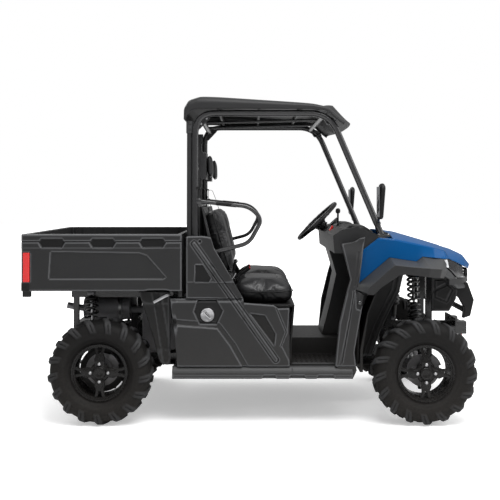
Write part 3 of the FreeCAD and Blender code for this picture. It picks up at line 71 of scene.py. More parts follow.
# Places read from the frame
WHEELS = {}
for end in ("front", "rear"):
    for side in ("right", "left"):
        a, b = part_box("tyre_%s_%s" % (end, side))
        WHEELS[end, side] = ((a[0] + b[0]) / 2, (a[1] + b[1]) / 2, (a[2] + b[2]) / 2,
                             (b[2] - a[2]) / 2, b[1] - a[1])
FRONT_X = WHEELS["front", "right"][0]
REAR_X = WHEELS["rear", "right"][0]
HUB_Z = WHEELS["front", "right"][2]
PANEL_Y = high("side_panels")[1]
BED_LOW = low("bed")
BED_HIGH = high("bed")

# Colours, linear
CHARCOAL = (0.0145, 0.0145, 0.0151)
# Edge colours: painted highlight on the raised edges that a piece marks
CHARCOAL_EDGE_HIGHLIGHT = (0.070, 0.071, 0.074)
# Paler charcoal: the colour of some lighter parts, and a painted highlight on faces that look up
PALE_CHARCOAL_AND_HIGHLIGHT = (0.042, 0.043, 0.0445)
BLACK = (0.0045, 0.0045, 0.0048)
BLACK_EDGE_HIGHLIGHT = (0.03, 0.03, 0.031)
FRAME_BLACK = (0.022, 0.022, 0.023)
BLUE = (0.0003, 0.062, 0.198)
RUBBER = (0.0042, 0.0042, 0.0045)
# Lug tops: lighter rubber, partly wear and partly a painted highlight
RUBBER_WEAR_AND_HIGHLIGHT = (0.034, 0.034, 0.035)
RIM_BLACK = (0.004, 0.004, 0.0043)
VINYL = (0.017, 0.017, 0.018)
VINYL_DARK = (0.006, 0.006, 0.0065)
WEBBING = (0.02, 0.02, 0.021)
STEEL = (0.42, 0.42, 0.43)
CAST = (0.20, 0.20, 0.21)
DUST = (0.16, 0.14, 0.12)
RED = (0.55, 0.012, 0.010)
LENS_RED = (0.62, 0.006, 0.006)
LENS_WHITE = (0.72, 0.73, 0.75)
LENS_SMOKE = (0.012, 0.012, 0.014)
MIRROR = (0.75, 0.77, 0.80)
COAT_ROUGHNESS = 0.12


# Shader groups

def new_group(name, inputs, outputs):
    """An empty shader group with its sockets."""
    group = bpy.data.node_groups.new(name, "ShaderNodeTree")
    for kind, direction in ((inputs, "INPUT"), (outputs, "OUTPUT")):
        for label, socket_type, value in kind:
            socket = group.interface.new_socket(label, in_out=direction, socket_type=socket_type)
            if value is not None:
                socket.default_value = value
    return group, group.nodes.new("NodeGroupInput"), group.nodes.new("NodeGroupOutput")


def maths(tree, operation, first, second):
    """A Math node fed by sockets or plain numbers."""
    node = tree.nodes.new("ShaderNodeMath")
    node.operation = operation
    for socket, value in zip(node.inputs, (first, second)):
        if isinstance(value, (int, float)):
            socket.default_value = value
        else:
            tree.links.new(value, socket)
    return node.outputs[0]


def set_inputs(node, values):
    """Sets a node's plain inputs by name."""
    for socket, value in values.items():
        node.inputs[socket].default_value = value


def new_node(tree, kind, values, **wires):
    """A shader node with plain inputs set by name and inputs of one word wired to sockets."""
    node = tree.nodes.new("ShaderNode" + kind)
    set_inputs(node, values)
    for socket, source in wires.items():
        tree.links.new(source, node.inputs[socket])
    return node


def noise(tree, vector, scale, detail=3.0):
    """A noise texture's value."""
    values = {"Detail": detail, "Scale": scale}
    return new_node(tree, "TexNoise", values, Vector=vector).outputs["Fac"]


def grouped(tree, group, place, values):
    """A use of a shader group at a place."""
    node = tree.nodes.new("ShaderNodeGroup")
    node.node_tree = group
    set_inputs(node, values)
    tree.links.new(place, node.inputs["Vector"])
    return node


def blended(tree, factor, first, second):
    """A colour that goes from the first to the second, a socket or a plain colour, by a factor."""
    node = tree.nodes.new("ShaderNodeMix")
    node.data_type = "RGBA"
    tree.links.new(factor, node.inputs["Factor"])
    tree.links.new(first, node.inputs["A"])
    if isinstance(second, tuple):
        node.inputs["B"].default_value = second
    else:
        tree.links.new(second, node.inputs["B"])
    return node.outputs["Result"]


FLOAT = "NodeSocketFloat"
COLOUR = "NodeSocketColor"
VECTOR = "NodeSocketVector"


def make_grain():
    """Moulded grain: fine cells over a soft noise, as a height."""
    group, source, sink = new_group("moulded_grain", [
        ("Vector", VECTOR, None), ("Scale", FLOAT, 900.0)], [("Height", FLOAT, None)])
    cells = new_node(group, "TexVoronoi", {}, Vector=source.outputs["Vector"],
                     Scale=source.outputs["Scale"])
    soft = noise(group, source.outputs["Vector"], 35.0)
    total = maths(group, "ADD", cells.outputs["Distance"], maths(group, "MULTIPLY", soft, 0.6))
    group.links.new(total, sink.inputs["Height"])
    return group


def make_tone():
    """Colour that drifts a little, with dust that gathers low down."""
    group, source, sink = new_group("worn_tone", [
        ("Vector", VECTOR, None), ("Colour", COLOUR, (0.5, 0.5, 0.5, 1)),
        ("Drift", FLOAT, 0.15), ("Dust", COLOUR, DUST + (1,)), ("Dustiness", FLOAT, 0.1),
        ("Roughness", FLOAT, 0.5)],
        [("Colour", COLOUR, None), ("Roughness", FLOAT, None)])
    cloud = noise(group, source.outputs["Vector"], 7.0, 5.0)
    fine = noise(group, source.outputs["Vector"], 90.0, 4.0)
    swing = maths(group, "SUBTRACT", cloud, 0.5)
    gain = maths(group, "ADD", maths(group, "MULTIPLY", swing, source.outputs["Drift"]), 1.0)
    scaled = group.nodes.new("ShaderNodeVectorMath")
    scaled.operation = "SCALE"
    group.links.new(source.outputs["Colour"], scaled.inputs[0])
    group.links.new(gain, scaled.inputs["Scale"])
    split = new_node(group, "SeparateXYZ", {}, Vector=source.outputs["Vector"])
    fall = new_node(group, "MapRange", {"From Min": 0.75, "From Max": 0.05},
                    Value=split.outputs["Z"])
    spread = maths(group, "MULTIPLY", fall.outputs["Result"], source.outputs["Dustiness"])
    amount = maths(group, "MULTIPLY", spread, maths(group, "MULTIPLY", fine, 1.6))
    dusty = blended(group, amount, scaled.outputs[0], source.outputs["Dust"])
    group.links.new(dusty, sink.inputs["Colour"])
    rough = maths(group, "ADD", source.outputs["Roughness"],
                  maths(group, "MULTIPLY", maths(group, "SUBTRACT", fine, 0.5), 0.16))
    group.links.new(maths(group, "ADD", rough, maths(group, "MULTIPLY", amount, 0.3)),
                    sink.inputs["Roughness"])
    return group


GRAIN = make_grain()
TONE = make_tone()


def finish(name, colour, roughness, metallic=0.0, grain=900.0, relief=0.00004, drift=0.2,
           dust=0.1, coat=0.0, specular=0.5, edge=None):
    """A material: drifting tone, dust low down and a grain that is felt in the light; where a piece
    marks its edges they take the edge colour, a painted highlight that on tyres also stands for
    wear."""
    material = bpy.data.materials.new(name)
    material.use_nodes = True
    tree = material.node_tree
    shader = tree.nodes["Principled BSDF"]
    place = tree.nodes.new("ShaderNodeTexCoord").outputs["Object"]
    tone = grouped(tree, TONE, place, {"Colour": colour + (1,), "Drift": drift,
                                       "Dustiness": dust, "Roughness": roughness})
    base = tone.outputs["Colour"]
    if edge:
        # Marked edges take the edge colour: painted highlight, and on tyres also wear
        mark = tree.nodes.new("ShaderNodeAttribute")
        mark.attribute_name = "worn"
        base = blended(tree, mark.outputs["Fac"], base, edge + (1,))
    height = grouped(tree, GRAIN, place, {"Scale": grain}).outputs["Height"]
    bump = new_node(tree, "Bump", {"Distance": relief}, Height=height)
    for socket, source in (("Base Color", base), ("Roughness", tone.outputs["Roughness"]),
                           ("Normal", bump.outputs["Normal"])):
        tree.links.new(source, shader.inputs[socket])
    set_inputs(shader, {"Metallic": metallic, "Coat Weight": coat,
                        "Coat Roughness": COAT_ROUGHNESS, "Specular IOR Level": specular})
    return material


def ribbed_red(name):
    """The tail lamp's red lens, with fine level flutes."""
    material = finish(name, LENS_RED, 0.25, grain=200.0, relief=0.00001, drift=0.15, dust=0.0,
                      coat=0.7)
    tree = material.node_tree
    wave = new_node(tree, "TexWave", {"Scale": 60.0},
                    Vector=tree.nodes["Texture Coordinate"].outputs["Object"])
    wave.bands_direction = "Z"
    bump = tree.nodes["Bump"]
    bump.inputs["Distance"].default_value = 0.0006
    tree.links.new(wave.outputs["Fac"], bump.inputs["Height"])
    return material


MATERIALS = {
    "charcoal": finish("charcoal_plastic", CHARCOAL, 0.50, drift=0.25, dust=0.08, specular=0.3,
                       edge=CHARCOAL_EDGE_HIGHLIGHT),
    # Paler charcoal: some lighter parts, and a painted highlight on faces that look up
    "charcoal_light": finish("charcoal_lit_edge", PALE_CHARCOAL_AND_HIGHLIGHT, 0.48, drift=0.2,
                             dust=0.08, specular=0.3),
    "black": finish("black_plastic", BLACK, 0.45, drift=0.3, dust=0.10, specular=0.25,
                    edge=BLACK_EDGE_HIGHLIGHT),
    "frame": finish("powder_coat", FRAME_BLACK, 0.24, grain=1400.0, relief=0.00003, dust=0.10,
                    specular=0.6),
    "blue": finish("blue_gloss", BLUE, 0.32, grain=120.0, relief=0.00002, drift=0.08, dust=0.03,
                   coat=0.06, specular=0.10),
    "rubber": finish("tyre_rubber", RUBBER, 0.66, grain=420.0, relief=0.0001, drift=0.35, dust=0.10,
                     specular=0.14, edge=RUBBER_WEAR_AND_HIGHLIGHT),
    "rim": finish("rim_satin", RIM_BLACK, 0.26, grain=700.0, relief=0.00003, dust=0.06,
                  specular=0.22),
    "vinyl": finish("seat_vinyl", VINYL, 0.42, grain=520.0, relief=0.00016, drift=0.25, dust=0.0,
                    specular=0.4),
    "vinyl_dark": finish("seat_side_vinyl", VINYL_DARK, 0.5, grain=520.0,
                         relief=0.00016, drift=0.25, dust=0.0, specular=0.3),
    "steel": finish("bare_steel", STEEL, 0.32, metallic=1.0, grain=260.0, relief=0.00003,
                    drift=0.3, dust=0.2),
    "glass": finish("mirror_glass", MIRROR, 0.03, metallic=1.0, grain=50.0,
                    relief=0.000001, drift=0.03, dust=0.0),
    "cast": finish("cast_alloy", CAST, 0.55, metallic=0.6, grain=380.0, relief=0.0002, drift=0.4,
                   dust=0.5),
    "webbing": finish("belt_webbing", WEBBING, 0.75, grain=1300.0, relief=0.0002,
                      drift=0.2, dust=0.0),
    "red_lens": ribbed_red("tail_lens"),
    "red": finish("red_plastic", RED, 0.35, drift=0.1, dust=0.0),
    "white_lens": finish("headlamp_lens", LENS_WHITE, 0.12, grain=160.0, relief=0.0001,
                         drift=0.1, dust=0.0, coat=1.0),
    "smoke_lens": finish("smoked_lens", LENS_SMOKE, 0.10, grain=120.0, relief=0.00002,
                         drift=0.2, dust=0.0, coat=1.0),
}


# Meshes

RIDES = {}
WELD = 0.00001
CAD_WELD = 0.00002


def shown(name, mesh, material, body, smooth=40):
    """Puts a mesh in the scene, smooth up to an angle, and lets it ride."""
    mesh.update()
    mesh.shade_smooth()
    mesh.set_sharp_from_angle(angle=math.radians(smooth))
    mesh.materials.clear()
    mesh.materials.append(MATERIALS[material])
    piece = bpy.data.objects.new(name, mesh)
    scene.collection.objects.link(piece)
    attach(piece, body)
    RIDES[name] = body
    return piece


def grid_faces(rows, cols, close_rows=False, close_cols=False):
    """Quads of a grid of rows by cols corners, as an array."""
    r = np.arange(rows if close_rows else rows - 1)
    c = np.arange(cols if close_cols else cols - 1)
    r, c = np.meshgrid(r, c, indexing="ij")
    r2, c2 = (r + 1) % rows, (c + 1) % cols
    return np.stack([r * cols + c, r2 * cols + c, r2 * cols + c2, r * cols + c2], -1).reshape(-1, 4)


def gathered(items, key):
    """A vector of each of a mesh's corners or faces, as rows of three."""
    values = np.empty(len(items) * 3)
    items.foreach_get(key, values)
    return values.reshape(-1, 3)


@contextlib.contextmanager
def edited(mesh):
    """A mesh opened for edits, which are written back when the block ends."""
    work = bmesh.new()
    work.from_mesh(mesh)
    yield work
    work.to_mesh(mesh)
    work.free()


def outwards(mesh):
    """Merges doubles and turns every face of a closed mesh outwards."""
    with edited(mesh) as work:
        bmesh.ops.remove_doubles(work, verts=work.verts, dist=WELD)
        bmesh.ops.recalc_face_normals(work, faces=work.faces)


def skin(name, points, material, body="root", close_rows=False, close_cols=False, caps=False,
         smooth=40, worn=None):
    """A surface on a grid of points, rows by cols by 3; caps close its two end rows."""
    rows, cols = points.shape[:2]
    faces = grid_faces(rows, cols, close_rows, close_cols).tolist()
    if caps:
        faces.append(list(range(cols)))
        faces.append(list(range((rows - 1) * cols, rows * cols)))
    mesh = bpy.data.meshes.new(name)
    mesh.from_pydata(points.reshape(-1, 3).tolist(), [], faces)
    if worn is not None:
        mark_edge_light_and_wear(mesh, np.clip(worn, 0, 1))
    outwards(mesh)
    return shown(name, mesh, material, body, smooth)


def solid(name, points, material, body="root", smooth=40):
    """A closed form: rings of points, each joined to the next, with a face over both ends."""
    return skin(name, points, material, body, close_cols=True, caps=True, smooth=smooth)


def mark_edge_light_and_wear(mesh, amount):
    """How much of the edge colour each corner of a mesh takes, from 0 to 1, for the materials to
    read: a painted highlight on raised edges, and on tyres also wear.
    """
    mark = mesh.attributes.new("worn", "FLOAT", "POINT")
    mark.data.foreach_set("value", np.asarray(amount, float).ravel())


def painted(piece, material, where):
    """Gives another material to the faces whose centres pass a test of (x, y, z) columns."""
    mesh = piece.data
    mesh.materials.append(MATERIALS[material])
    index = np.empty(len(mesh.polygons), int)
    mesh.polygons.foreach_get("material_index", index)
    index[where(*gathered(mesh.polygons, "center").T)] = len(mesh.materials) - 1
    mesh.polygons.foreach_set("material_index", index)
    return piece


def merge(name, pieces, body="root"):
    """Pieces made one object, each keeping its material."""
    with bpy.context.temp_override(active_object=pieces[0], object=pieces[0],
                                   selected_editable_objects=pieces, selected_objects=pieces):
        bpy.ops.object.join()
    pieces[0].name = name
    RIDES[name] = body
    return pieces[0]


def mirror_piece(piece, name, body=None):
    """A piece's mirror image on the other side, its faces turned back outwards."""
    mesh = piece.data.copy()
    co = gathered(mesh.vertices, "co") * (1, -1, 1)
    mesh.vertices.foreach_set("co", co.ravel())
    mesh.flip_normals()
    other = bpy.data.objects.new(name, mesh)
    scene.collection.objects.link(other)
    for modifier in piece.modifiers:
        copy_modifier(modifier, other)
    RIDES[name] = body or RIDES[piece.name]
    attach(other, RIDES[name])
    return other


def copy_modifier(modifier, other):
    """The same modifier on another object."""
    new = other.modifiers.new(modifier.name, modifier.type)
    for key in modifier.bl_rna.properties.keys():
        if not modifier.is_property_readonly(key) and key not in ("name", "type"):
            setattr(new, key, getattr(modifier, key))


def both_sides(piece):
    """A right-hand piece and its mirror image."""
    return piece, mirror_piece(piece, piece.name.replace("_right", "") + "_left")


def walled(piece, thickness):
    """Gives an open surface a wall on its inner side."""
    wall = piece.modifiers.new("wall", "SOLIDIFY")
    wall.thickness = thickness
    wall.offset = -1


def bevelled(piece, width=0.002, angle=35):
    """Rounds a piece's edges by a small width."""
    bevel = piece.modifiers.new("edge", "BEVEL")
    bevel.width = width
    bevel.segments = 2
    bevel.limit_method = "ANGLE"
    bevel.angle_limit = math.radians(angle)
    return piece


def dressed(node, material, edge=0.0015, smooth=33):
    """A merged copy of a CAD node in its place, with smooth rounds and softened edges."""
    mesh = NODES[node].data.copy()
    with edited(mesh) as work:
        bmesh.ops.remove_doubles(work, verts=work.verts, dist=CAD_WELD)
        bmesh.ops.dissolve_limit(work, angle_limit=math.radians(0.5), verts=work.verts,
                                 edges=work.edges)
    if "custom_normal" in mesh.attributes:
        mesh.attributes.remove(mesh.attributes["custom_normal"])
    piece = shown(node + "_dressed", mesh, material, BODY_OF[node], smooth)
    if edge:
        bevelled(piece, edge)
    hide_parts(node)
    return piece


def rounded_path(corners, radius, steps=7):
    """A path through corners, each rounded by a quadratic arc between two tangent points."""
    corners = np.array(corners, float)
    runs = [corners[:1]]
    t = np.linspace(0, 1, steps)[:, None]
    for before, corner, after in zip(corners, corners[1:], corners[2:]):
        back = (before - corner) / np.linalg.norm(before - corner)
        ahead = (after - corner) / np.linalg.norm(after - corner)
        reach = min(radius, np.linalg.norm(before - corner) * 0.49,
                    np.linalg.norm(after - corner) * 0.49)
        start, end = corner + back * reach, corner + ahead * reach
        runs.append((1 - t) ** 2 * start + 2 * t * (1 - t) * corner + t ** 2 * end)
    runs.append(corners[-1:])
    return np.concatenate(runs)


def carried(path, profile, side=(0.0, 1.0, 0.0)):
    """A flat profile carried along a path: each ring is the path point plus the profile's
    first coordinate along the side direction and its second along side x tangent."""
    tangent = np.gradient(path, axis=0)
    tangent /= np.linalg.norm(tangent, axis=1, keepdims=True)
    side = np.broadcast_to(np.array(side, float), path.shape)
    side = side - tangent * np.sum(side * tangent, axis=1, keepdims=True)
    side /= np.linalg.norm(side, axis=1, keepdims=True)
    up = np.cross(side, tangent)
    return path[:, None] + side[:, None] * profile[:, :1] + up[:, None] * profile[:, 1:]


def circle(radius, sides=20):
    """A round profile: cosine and sine of even turns times the radius."""
    turn = np.linspace(0, 2 * np.pi, sides, endpoint=False)
    return np.stack([np.cos(turn), np.sin(turn)], -1) * radius


def slab(width, height, corner=0.002, steps=3):
    """A rectangular profile with rounded corners."""
    turn = np.linspace(0, np.pi / 2, steps)
    arc = np.stack([np.cos(turn), np.sin(turn)], -1) * corner
    quarters = []
    for k, (sx, sy) in enumerate(((1, 1), (-1, 1), (-1, -1), (1, -1))):
        c, s = math.cos(k * math.pi / 2), math.sin(k * math.pi / 2)
        turned = arc @ np.array([[c, s], [-s, c]])
        quarters.append(turned + np.array([sx * (width / 2 - corner), sy * (height / 2 - corner)]))
    return np.concatenate(quarters)


def pipe(name, path, radius, material, body="root", side=(0.0, 1.0, 0.0), sides=20):
    """A round bar along a path."""
    return solid(name, carried(np.array(path, float), circle(radius, sides), side), material, body)


def turned(name, centre, stations, material, body="root", sides=48, axis="y", closed=False):
    """A turned form: rings of (place along the axis, radius) about a centre, capped at its two
    ends, or joined into a ring where the section is closed."""
    stations = np.array(stations, float)
    turn = np.linspace(0, 2 * np.pi, sides, endpoint=False)
    along = np.repeat(stations[:, :1], sides, 1)
    one = stations[:, 1:] * np.cos(turn)
    two = stations[:, 1:] * np.sin(turn)
    order = {"x": (along, one, two), "y": (one, along, two), "z": (one, two, along)}[axis]
    points = np.stack(order, -1) + np.array(centre)
    return skin(name, points, material, body, close_rows=closed, close_cols=True,
                caps=not closed, smooth=35)


def step(x, edge, soft):
    """A smooth rise from 0 to 1 around an edge."""
    t = np.clip((x - edge) / soft + 0.5, 0, 1)
    return t * t * (3 - 2 * t)


def band(x, start, end, soft):
    """1 between two places and 0 outside, with soft sides."""
    return step(x, start, soft) * (1 - step(x, end, soft))


def bell(x, at, width):
    """1 at a place and 0 away from it, as a bell curve."""
    return np.exp(-((x - at) / width) ** 2)


def run_distance(dx, dz, ex, ez):
    """Distance from a straight run (ex, ez) to points (dx, dz), both from the run's start."""
    t = np.clip((dx * ex + dz * ez) / (ex * ex + ez * ez), 0, 1)
    return np.hypot(dx - t * ex, dz - t * ez)


def outline_sdf(x, z, corners):
    """Distance to a closed outline of (x, z) corners, less than 0 inside it."""
    corners = np.array(corners, float)
    best = np.full(x.shape, 1e9)
    inside = np.zeros(x.shape, bool)
    for (ax, az), (bx, bz) in zip(corners, np.roll(corners, -1, 0)):
        ex, ez = bx - ax, bz - az
        best = np.minimum(best, run_distance(x - ax, z - az, ex, ez))
        crosses = (az > z) != (bz > z)
        with np.errstate(divide="ignore", invalid="ignore"):
            inside ^= crosses & (x < ex * (z - az) / ez + ax)
    return np.where(inside, -best, best)


def line_sdf(x, z, points):
    """Distance to an open line of (x, z) points."""
    points = np.array(points, float)
    best = np.full(x.shape, 1e9)
    for (ax, az), (bx, bz) in zip(points, points[1:]):
        best = np.minimum(best, run_distance(x - ax, z - az, bx - ax, bz - az))
    return best


# Painted highlight on the relief's convex bends: the bend that takes the full edge colour, and how
# much of it is let go
HIGHLIGHT_BEND = 0.0009
HIGHLIGHT_FLOOR = 0.15


def relief_panel(name, outline, face_y, depth, height, material, body="root", cell=0.004,
                 lip=0.006, upright=False):
    """A moulded side panel on the vehicle's right. Its outline is (x, z) corners, whose top and
    bottom are functions of x, or whose two sides are functions of z where it is upright;
    height(x, z) stands out from the face. Its edges roll back over a lip to the depth."""
    outline = np.array(outline, float)
    flat = outline[:, ::-1] if upright else outline
    start, end = flat[:, 0].min(), flat[:, 0].max()
    columns = max(3, int((end - start) / cell))
    along = np.linspace(start, end, columns)
    near, far = edge_curves(flat, along)
    rows = max(3, int((far - near).max() / cell))
    v = np.linspace(0, 1, rows)[:, None]
    a = np.repeat(along[None], rows, 0)
    b = near + (far - near) * v
    x, z = (b, a) if upright else (a, b)
    inset = outline_sdf(x, z, outline)
    roll = lip * (1 - np.sqrt(np.clip(1 - (1 - np.clip(-inset / lip, 0, 1)) ** 2, 0, 1)))
    y = -(face_y + height(x, z)) + roll
    front = np.stack([x, y, z], -1)
    ring = np.concatenate([front[0], front[1:, -1], front[-1, -2::-1], front[-2:0:-1, 0]])
    back = ring.copy()
    back[:, 1] = -(face_y - depth)
    count = rows * columns
    flat_height = height(x, z) - roll
    # Convex bends of the relief take the lighter edge colour as a painted highlight
    bend = np.gradient(np.gradient(flat_height, axis=0), axis=0) + \
        np.gradient(np.gradient(flat_height, axis=1), axis=1)
    worn = np.clip(-bend / HIGHLIGHT_BEND - HIGHLIGHT_FLOOR, 0, 1)
    index = np.arange(count).reshape(rows, columns)
    loop = np.concatenate([index[0], index[1:, -1], index[-1, -2::-1], index[-2:0:-1, 0]])
    size = len(loop)
    after = (np.arange(size) + 1) % size
    side = np.stack([loop, count + np.arange(size), count + after, loop[after]], -1)
    verts = np.concatenate([front.reshape(-1, 3), back])
    faces = grid_faces(rows, columns).tolist() + side.tolist()
    faces.append((count + np.arange(size)).tolist())
    mesh = bpy.data.meshes.new(name)
    mesh.from_pydata(verts.tolist(), [], faces)
    mark_edge_light_and_wear(mesh, np.concatenate([worn.ravel(), np.zeros(size)]))
    outwards(mesh)
    return shown(name, mesh, material, body, 50)


def edge_curves(outline, xs):
    """Lowest and highest z of a closed outline at each x."""
    lows, highs = np.full(len(xs), 1e9), np.full(len(xs), -1e9)
    for a, b in zip(outline, np.roll(outline, -1, 0)):
        if abs(a[0] - b[0]) < 1e-9:
            continue
        first, last = (a, b) if a[0] < b[0] else (b, a)
        hit = (xs >= first[0] - 1e-9) & (xs <= last[0] + 1e-9)
        z = np.interp(xs, [first[0], last[0]], [first[1], last[1]])
        lows = np.where(hit, np.minimum(lows, z), lows)
        highs = np.where(hit, np.maximum(highs, z), highs)
    return lows, highs


# Wheels

LUGS = 17
LUG_HEIGHT = 0.014
LUG_LEAN = 0.30
TREAD_STEPS = 612
SECTION_STEPS = 76
BEAD_RADIUS = 0.168
RIM_HALF = (high("rim_front_right")[1] - low("rim_front_right")[1]) / 2 - 0.008


def resampled(points, count):
    """Points spread evenly along a line, with the distance of each from its start."""
    lengths = np.linalg.norm(np.diff(points, axis=0), axis=1)
    far = np.concatenate([[0], np.cumsum(lengths)])
    at = np.linspace(0, far[-1], count)
    return np.stack([np.interp(at, far, points[:, k]) for k in range(points.shape[1])], -1), at


def lug_height(turn, reach, half_width, side):
    """Height of the lugs over the carcass: chevron bars that start near the crown, slant back
    with the distance from it, wrap over the shoulder and end there in two fingers."""
    pitch = 2 * np.pi / LUGS
    shoulder = half_width - 0.010
    slope = LUG_LEAN * pitch / (shoulder - 0.016)
    lean = slope * (np.clip(reach, 0.016, 1) - shoulder)
    phase = (turn + lean + (side > 0) * pitch / 2) / pitch
    off = (phase - np.round(phase)) * pitch * HUB_Z
    half = 0.017 + 0.006 * step(reach, half_width * 0.8, 0.05)
    bar = 1 - step(np.abs(off), half, 0.007)
    run = step(reach, 0.004, 0.012) * (1 - step(reach, half_width + 0.040, 0.012))
    slot = (1 - step(np.abs(off), 0.0032, 0.004)) * band(reach, half_width - 0.012,
                                                        half_width + 0.034, 0.006)
    fade = 1 - 0.45 * step(reach, half_width + 0.010, 0.05)
    return LUG_HEIGHT * bar * run * fade * (1 - 0.55 * slot)


def tyre_piece(end):
    """A tyre: its section is a rounded line from bead to bead, turned about the axle, and each
    point stands out along the section's normal by the lugs' height."""
    x, y, z, radius, width = WHEELS[end, "right"]
    half = width / 2
    crown = radius - LUG_HEIGHT
    flank = [(RIM_HALF - 0.004, BEAD_RADIUS - 0.012), (RIM_HALF - 0.001, BEAD_RADIUS + 0.010),
             (half - 0.005, BEAD_RADIUS + 0.034), (half, radius * 0.75),
             (half - 0.010, crown - 0.028), (half - 0.034, crown - 0.006)]
    corners = [(-across, out) for across, out in flank] + [(0, crown)] + flank[::-1]
    section, far = resampled(rounded_path(corners, 0.03, 6), SECTION_STEPS)
    along = np.gradient(section, axis=0)
    along /= np.linalg.norm(along, axis=1, keepdims=True)
    normal = np.stack([-along[:, 1], along[:, 0]], -1)
    turn = np.linspace(0, 2 * np.pi, TREAD_STEPS, endpoint=False)[:, None]
    reach = np.abs(far - far[-1] / 2)[None]
    side = np.where(section[:, 0] > 0, 1.0, -1.0)[None]
    tall = lug_height(turn, reach, half - 0.01, side)
    ring_line = 0.0012 * bell(section[:, 1], 0.205, 0.0025)
    ring_line += 0.0016 * bell(section[:, 1], 0.186, 0.004)
    tall = tall + ring_line[None]
    across = section[None, :, 0] + normal[None, :, 0] * tall
    out = section[None, :, 1] + normal[None, :, 1] * tall
    out = np.minimum(out, radius)
    points = np.stack([x + out * np.sin(turn), y + across, z - out * np.cos(turn)], -1)
    # The lug tops take the lighter rubber colour, partly as wear and partly as a painted highlight
    # from above
    return skin("tyre_%s_right_tread" % end, points, "rubber", "wheel_%s_right" % end,
                close_rows=True, close_cols=True, smooth=50, worn=tall / LUG_HEIGHT)


def rounded_ring(t0, t1, y0, y1, corner):
    """Corners of a rounded rectangle between two widths and two depths."""
    half_t, half_y = (t1 - t0) / 2, (y1 - y0) / 2
    core = np.array([half_t - corner, half_y - corner])
    arc = np.linspace(0, np.pi / 2, 4)
    rings = []
    for k, (st, sy) in enumerate(((1, 1), (-1, 1), (-1, -1), (1, -1))):
        turn = arc + k * np.pi / 2
        rings.append(np.stack([st * core[0] + corner * np.cos(turn),
                               sy * core[1] + corner * np.sin(turn)], -1))
    ring = np.concatenate(rings)
    return ring + np.array([(t0 + t1) / 2, (y0 + y1) / 2])


# Stations of a spoke's parts, as half widths and depths from the rim's face at each radius:
# (radius, half width, back, front), and for an arm (radius, inner edge, outer edge, back)
SPOKE_PARTS = (
    ("root", ((0.026, 0.028, 0.020, 0.002), (0.046, 0.027, 0.024, 0.002),
              (0.066, 0.029, 0.025, 0.002), (0.080, 0.031, 0.022, 0.002),
              (0.098, 0.024, 0.018, 0), (0.108, 0.022, 0.016, 0))),
    ("pad", ((0.040, 0.016, 0.029, 0.020), (0.060, 0.020, 0.030, 0.020),
             (0.078, 0.021, 0.029, 0.018), (0.090, 0.012, 0.025, 0.012))),
)
SPOKE_ARM = ((0.100, 0.005, 0.024, 0.016), (0.116, 0.0065, 0.024, 0.014),
             (0.132, 0.009, 0.029, 0.012), (0.148, 0.014, 0.036, 0.010))


def spoke_bar(name, stations, quarter, centre, body):
    """A bar along a spoke: at each radius a rounded rectangle from t0 to t1 across and from y0
    to y1 deep, turned by quarters about the axle."""
    rings = []
    for radius, t0, t1, y0, y1 in stations:
        ring = rounded_ring(t0, t1, y0, y1, 0.003)
        rings.append(np.stack([ring[:, 0], ring[:, 1], np.full(len(ring), radius)], -1))
    points = np.array(rings)
    angle = quarter * math.pi / 2
    c, s = math.cos(angle), math.sin(angle)
    across = points[..., 0] * c + points[..., 2] * s
    up = -points[..., 0] * s + points[..., 2] * c
    placed = np.stack([centre[0] + across, points[..., 1], centre[2] + up], -1)
    return solid(name, placed, "rim", body, smooth=45)


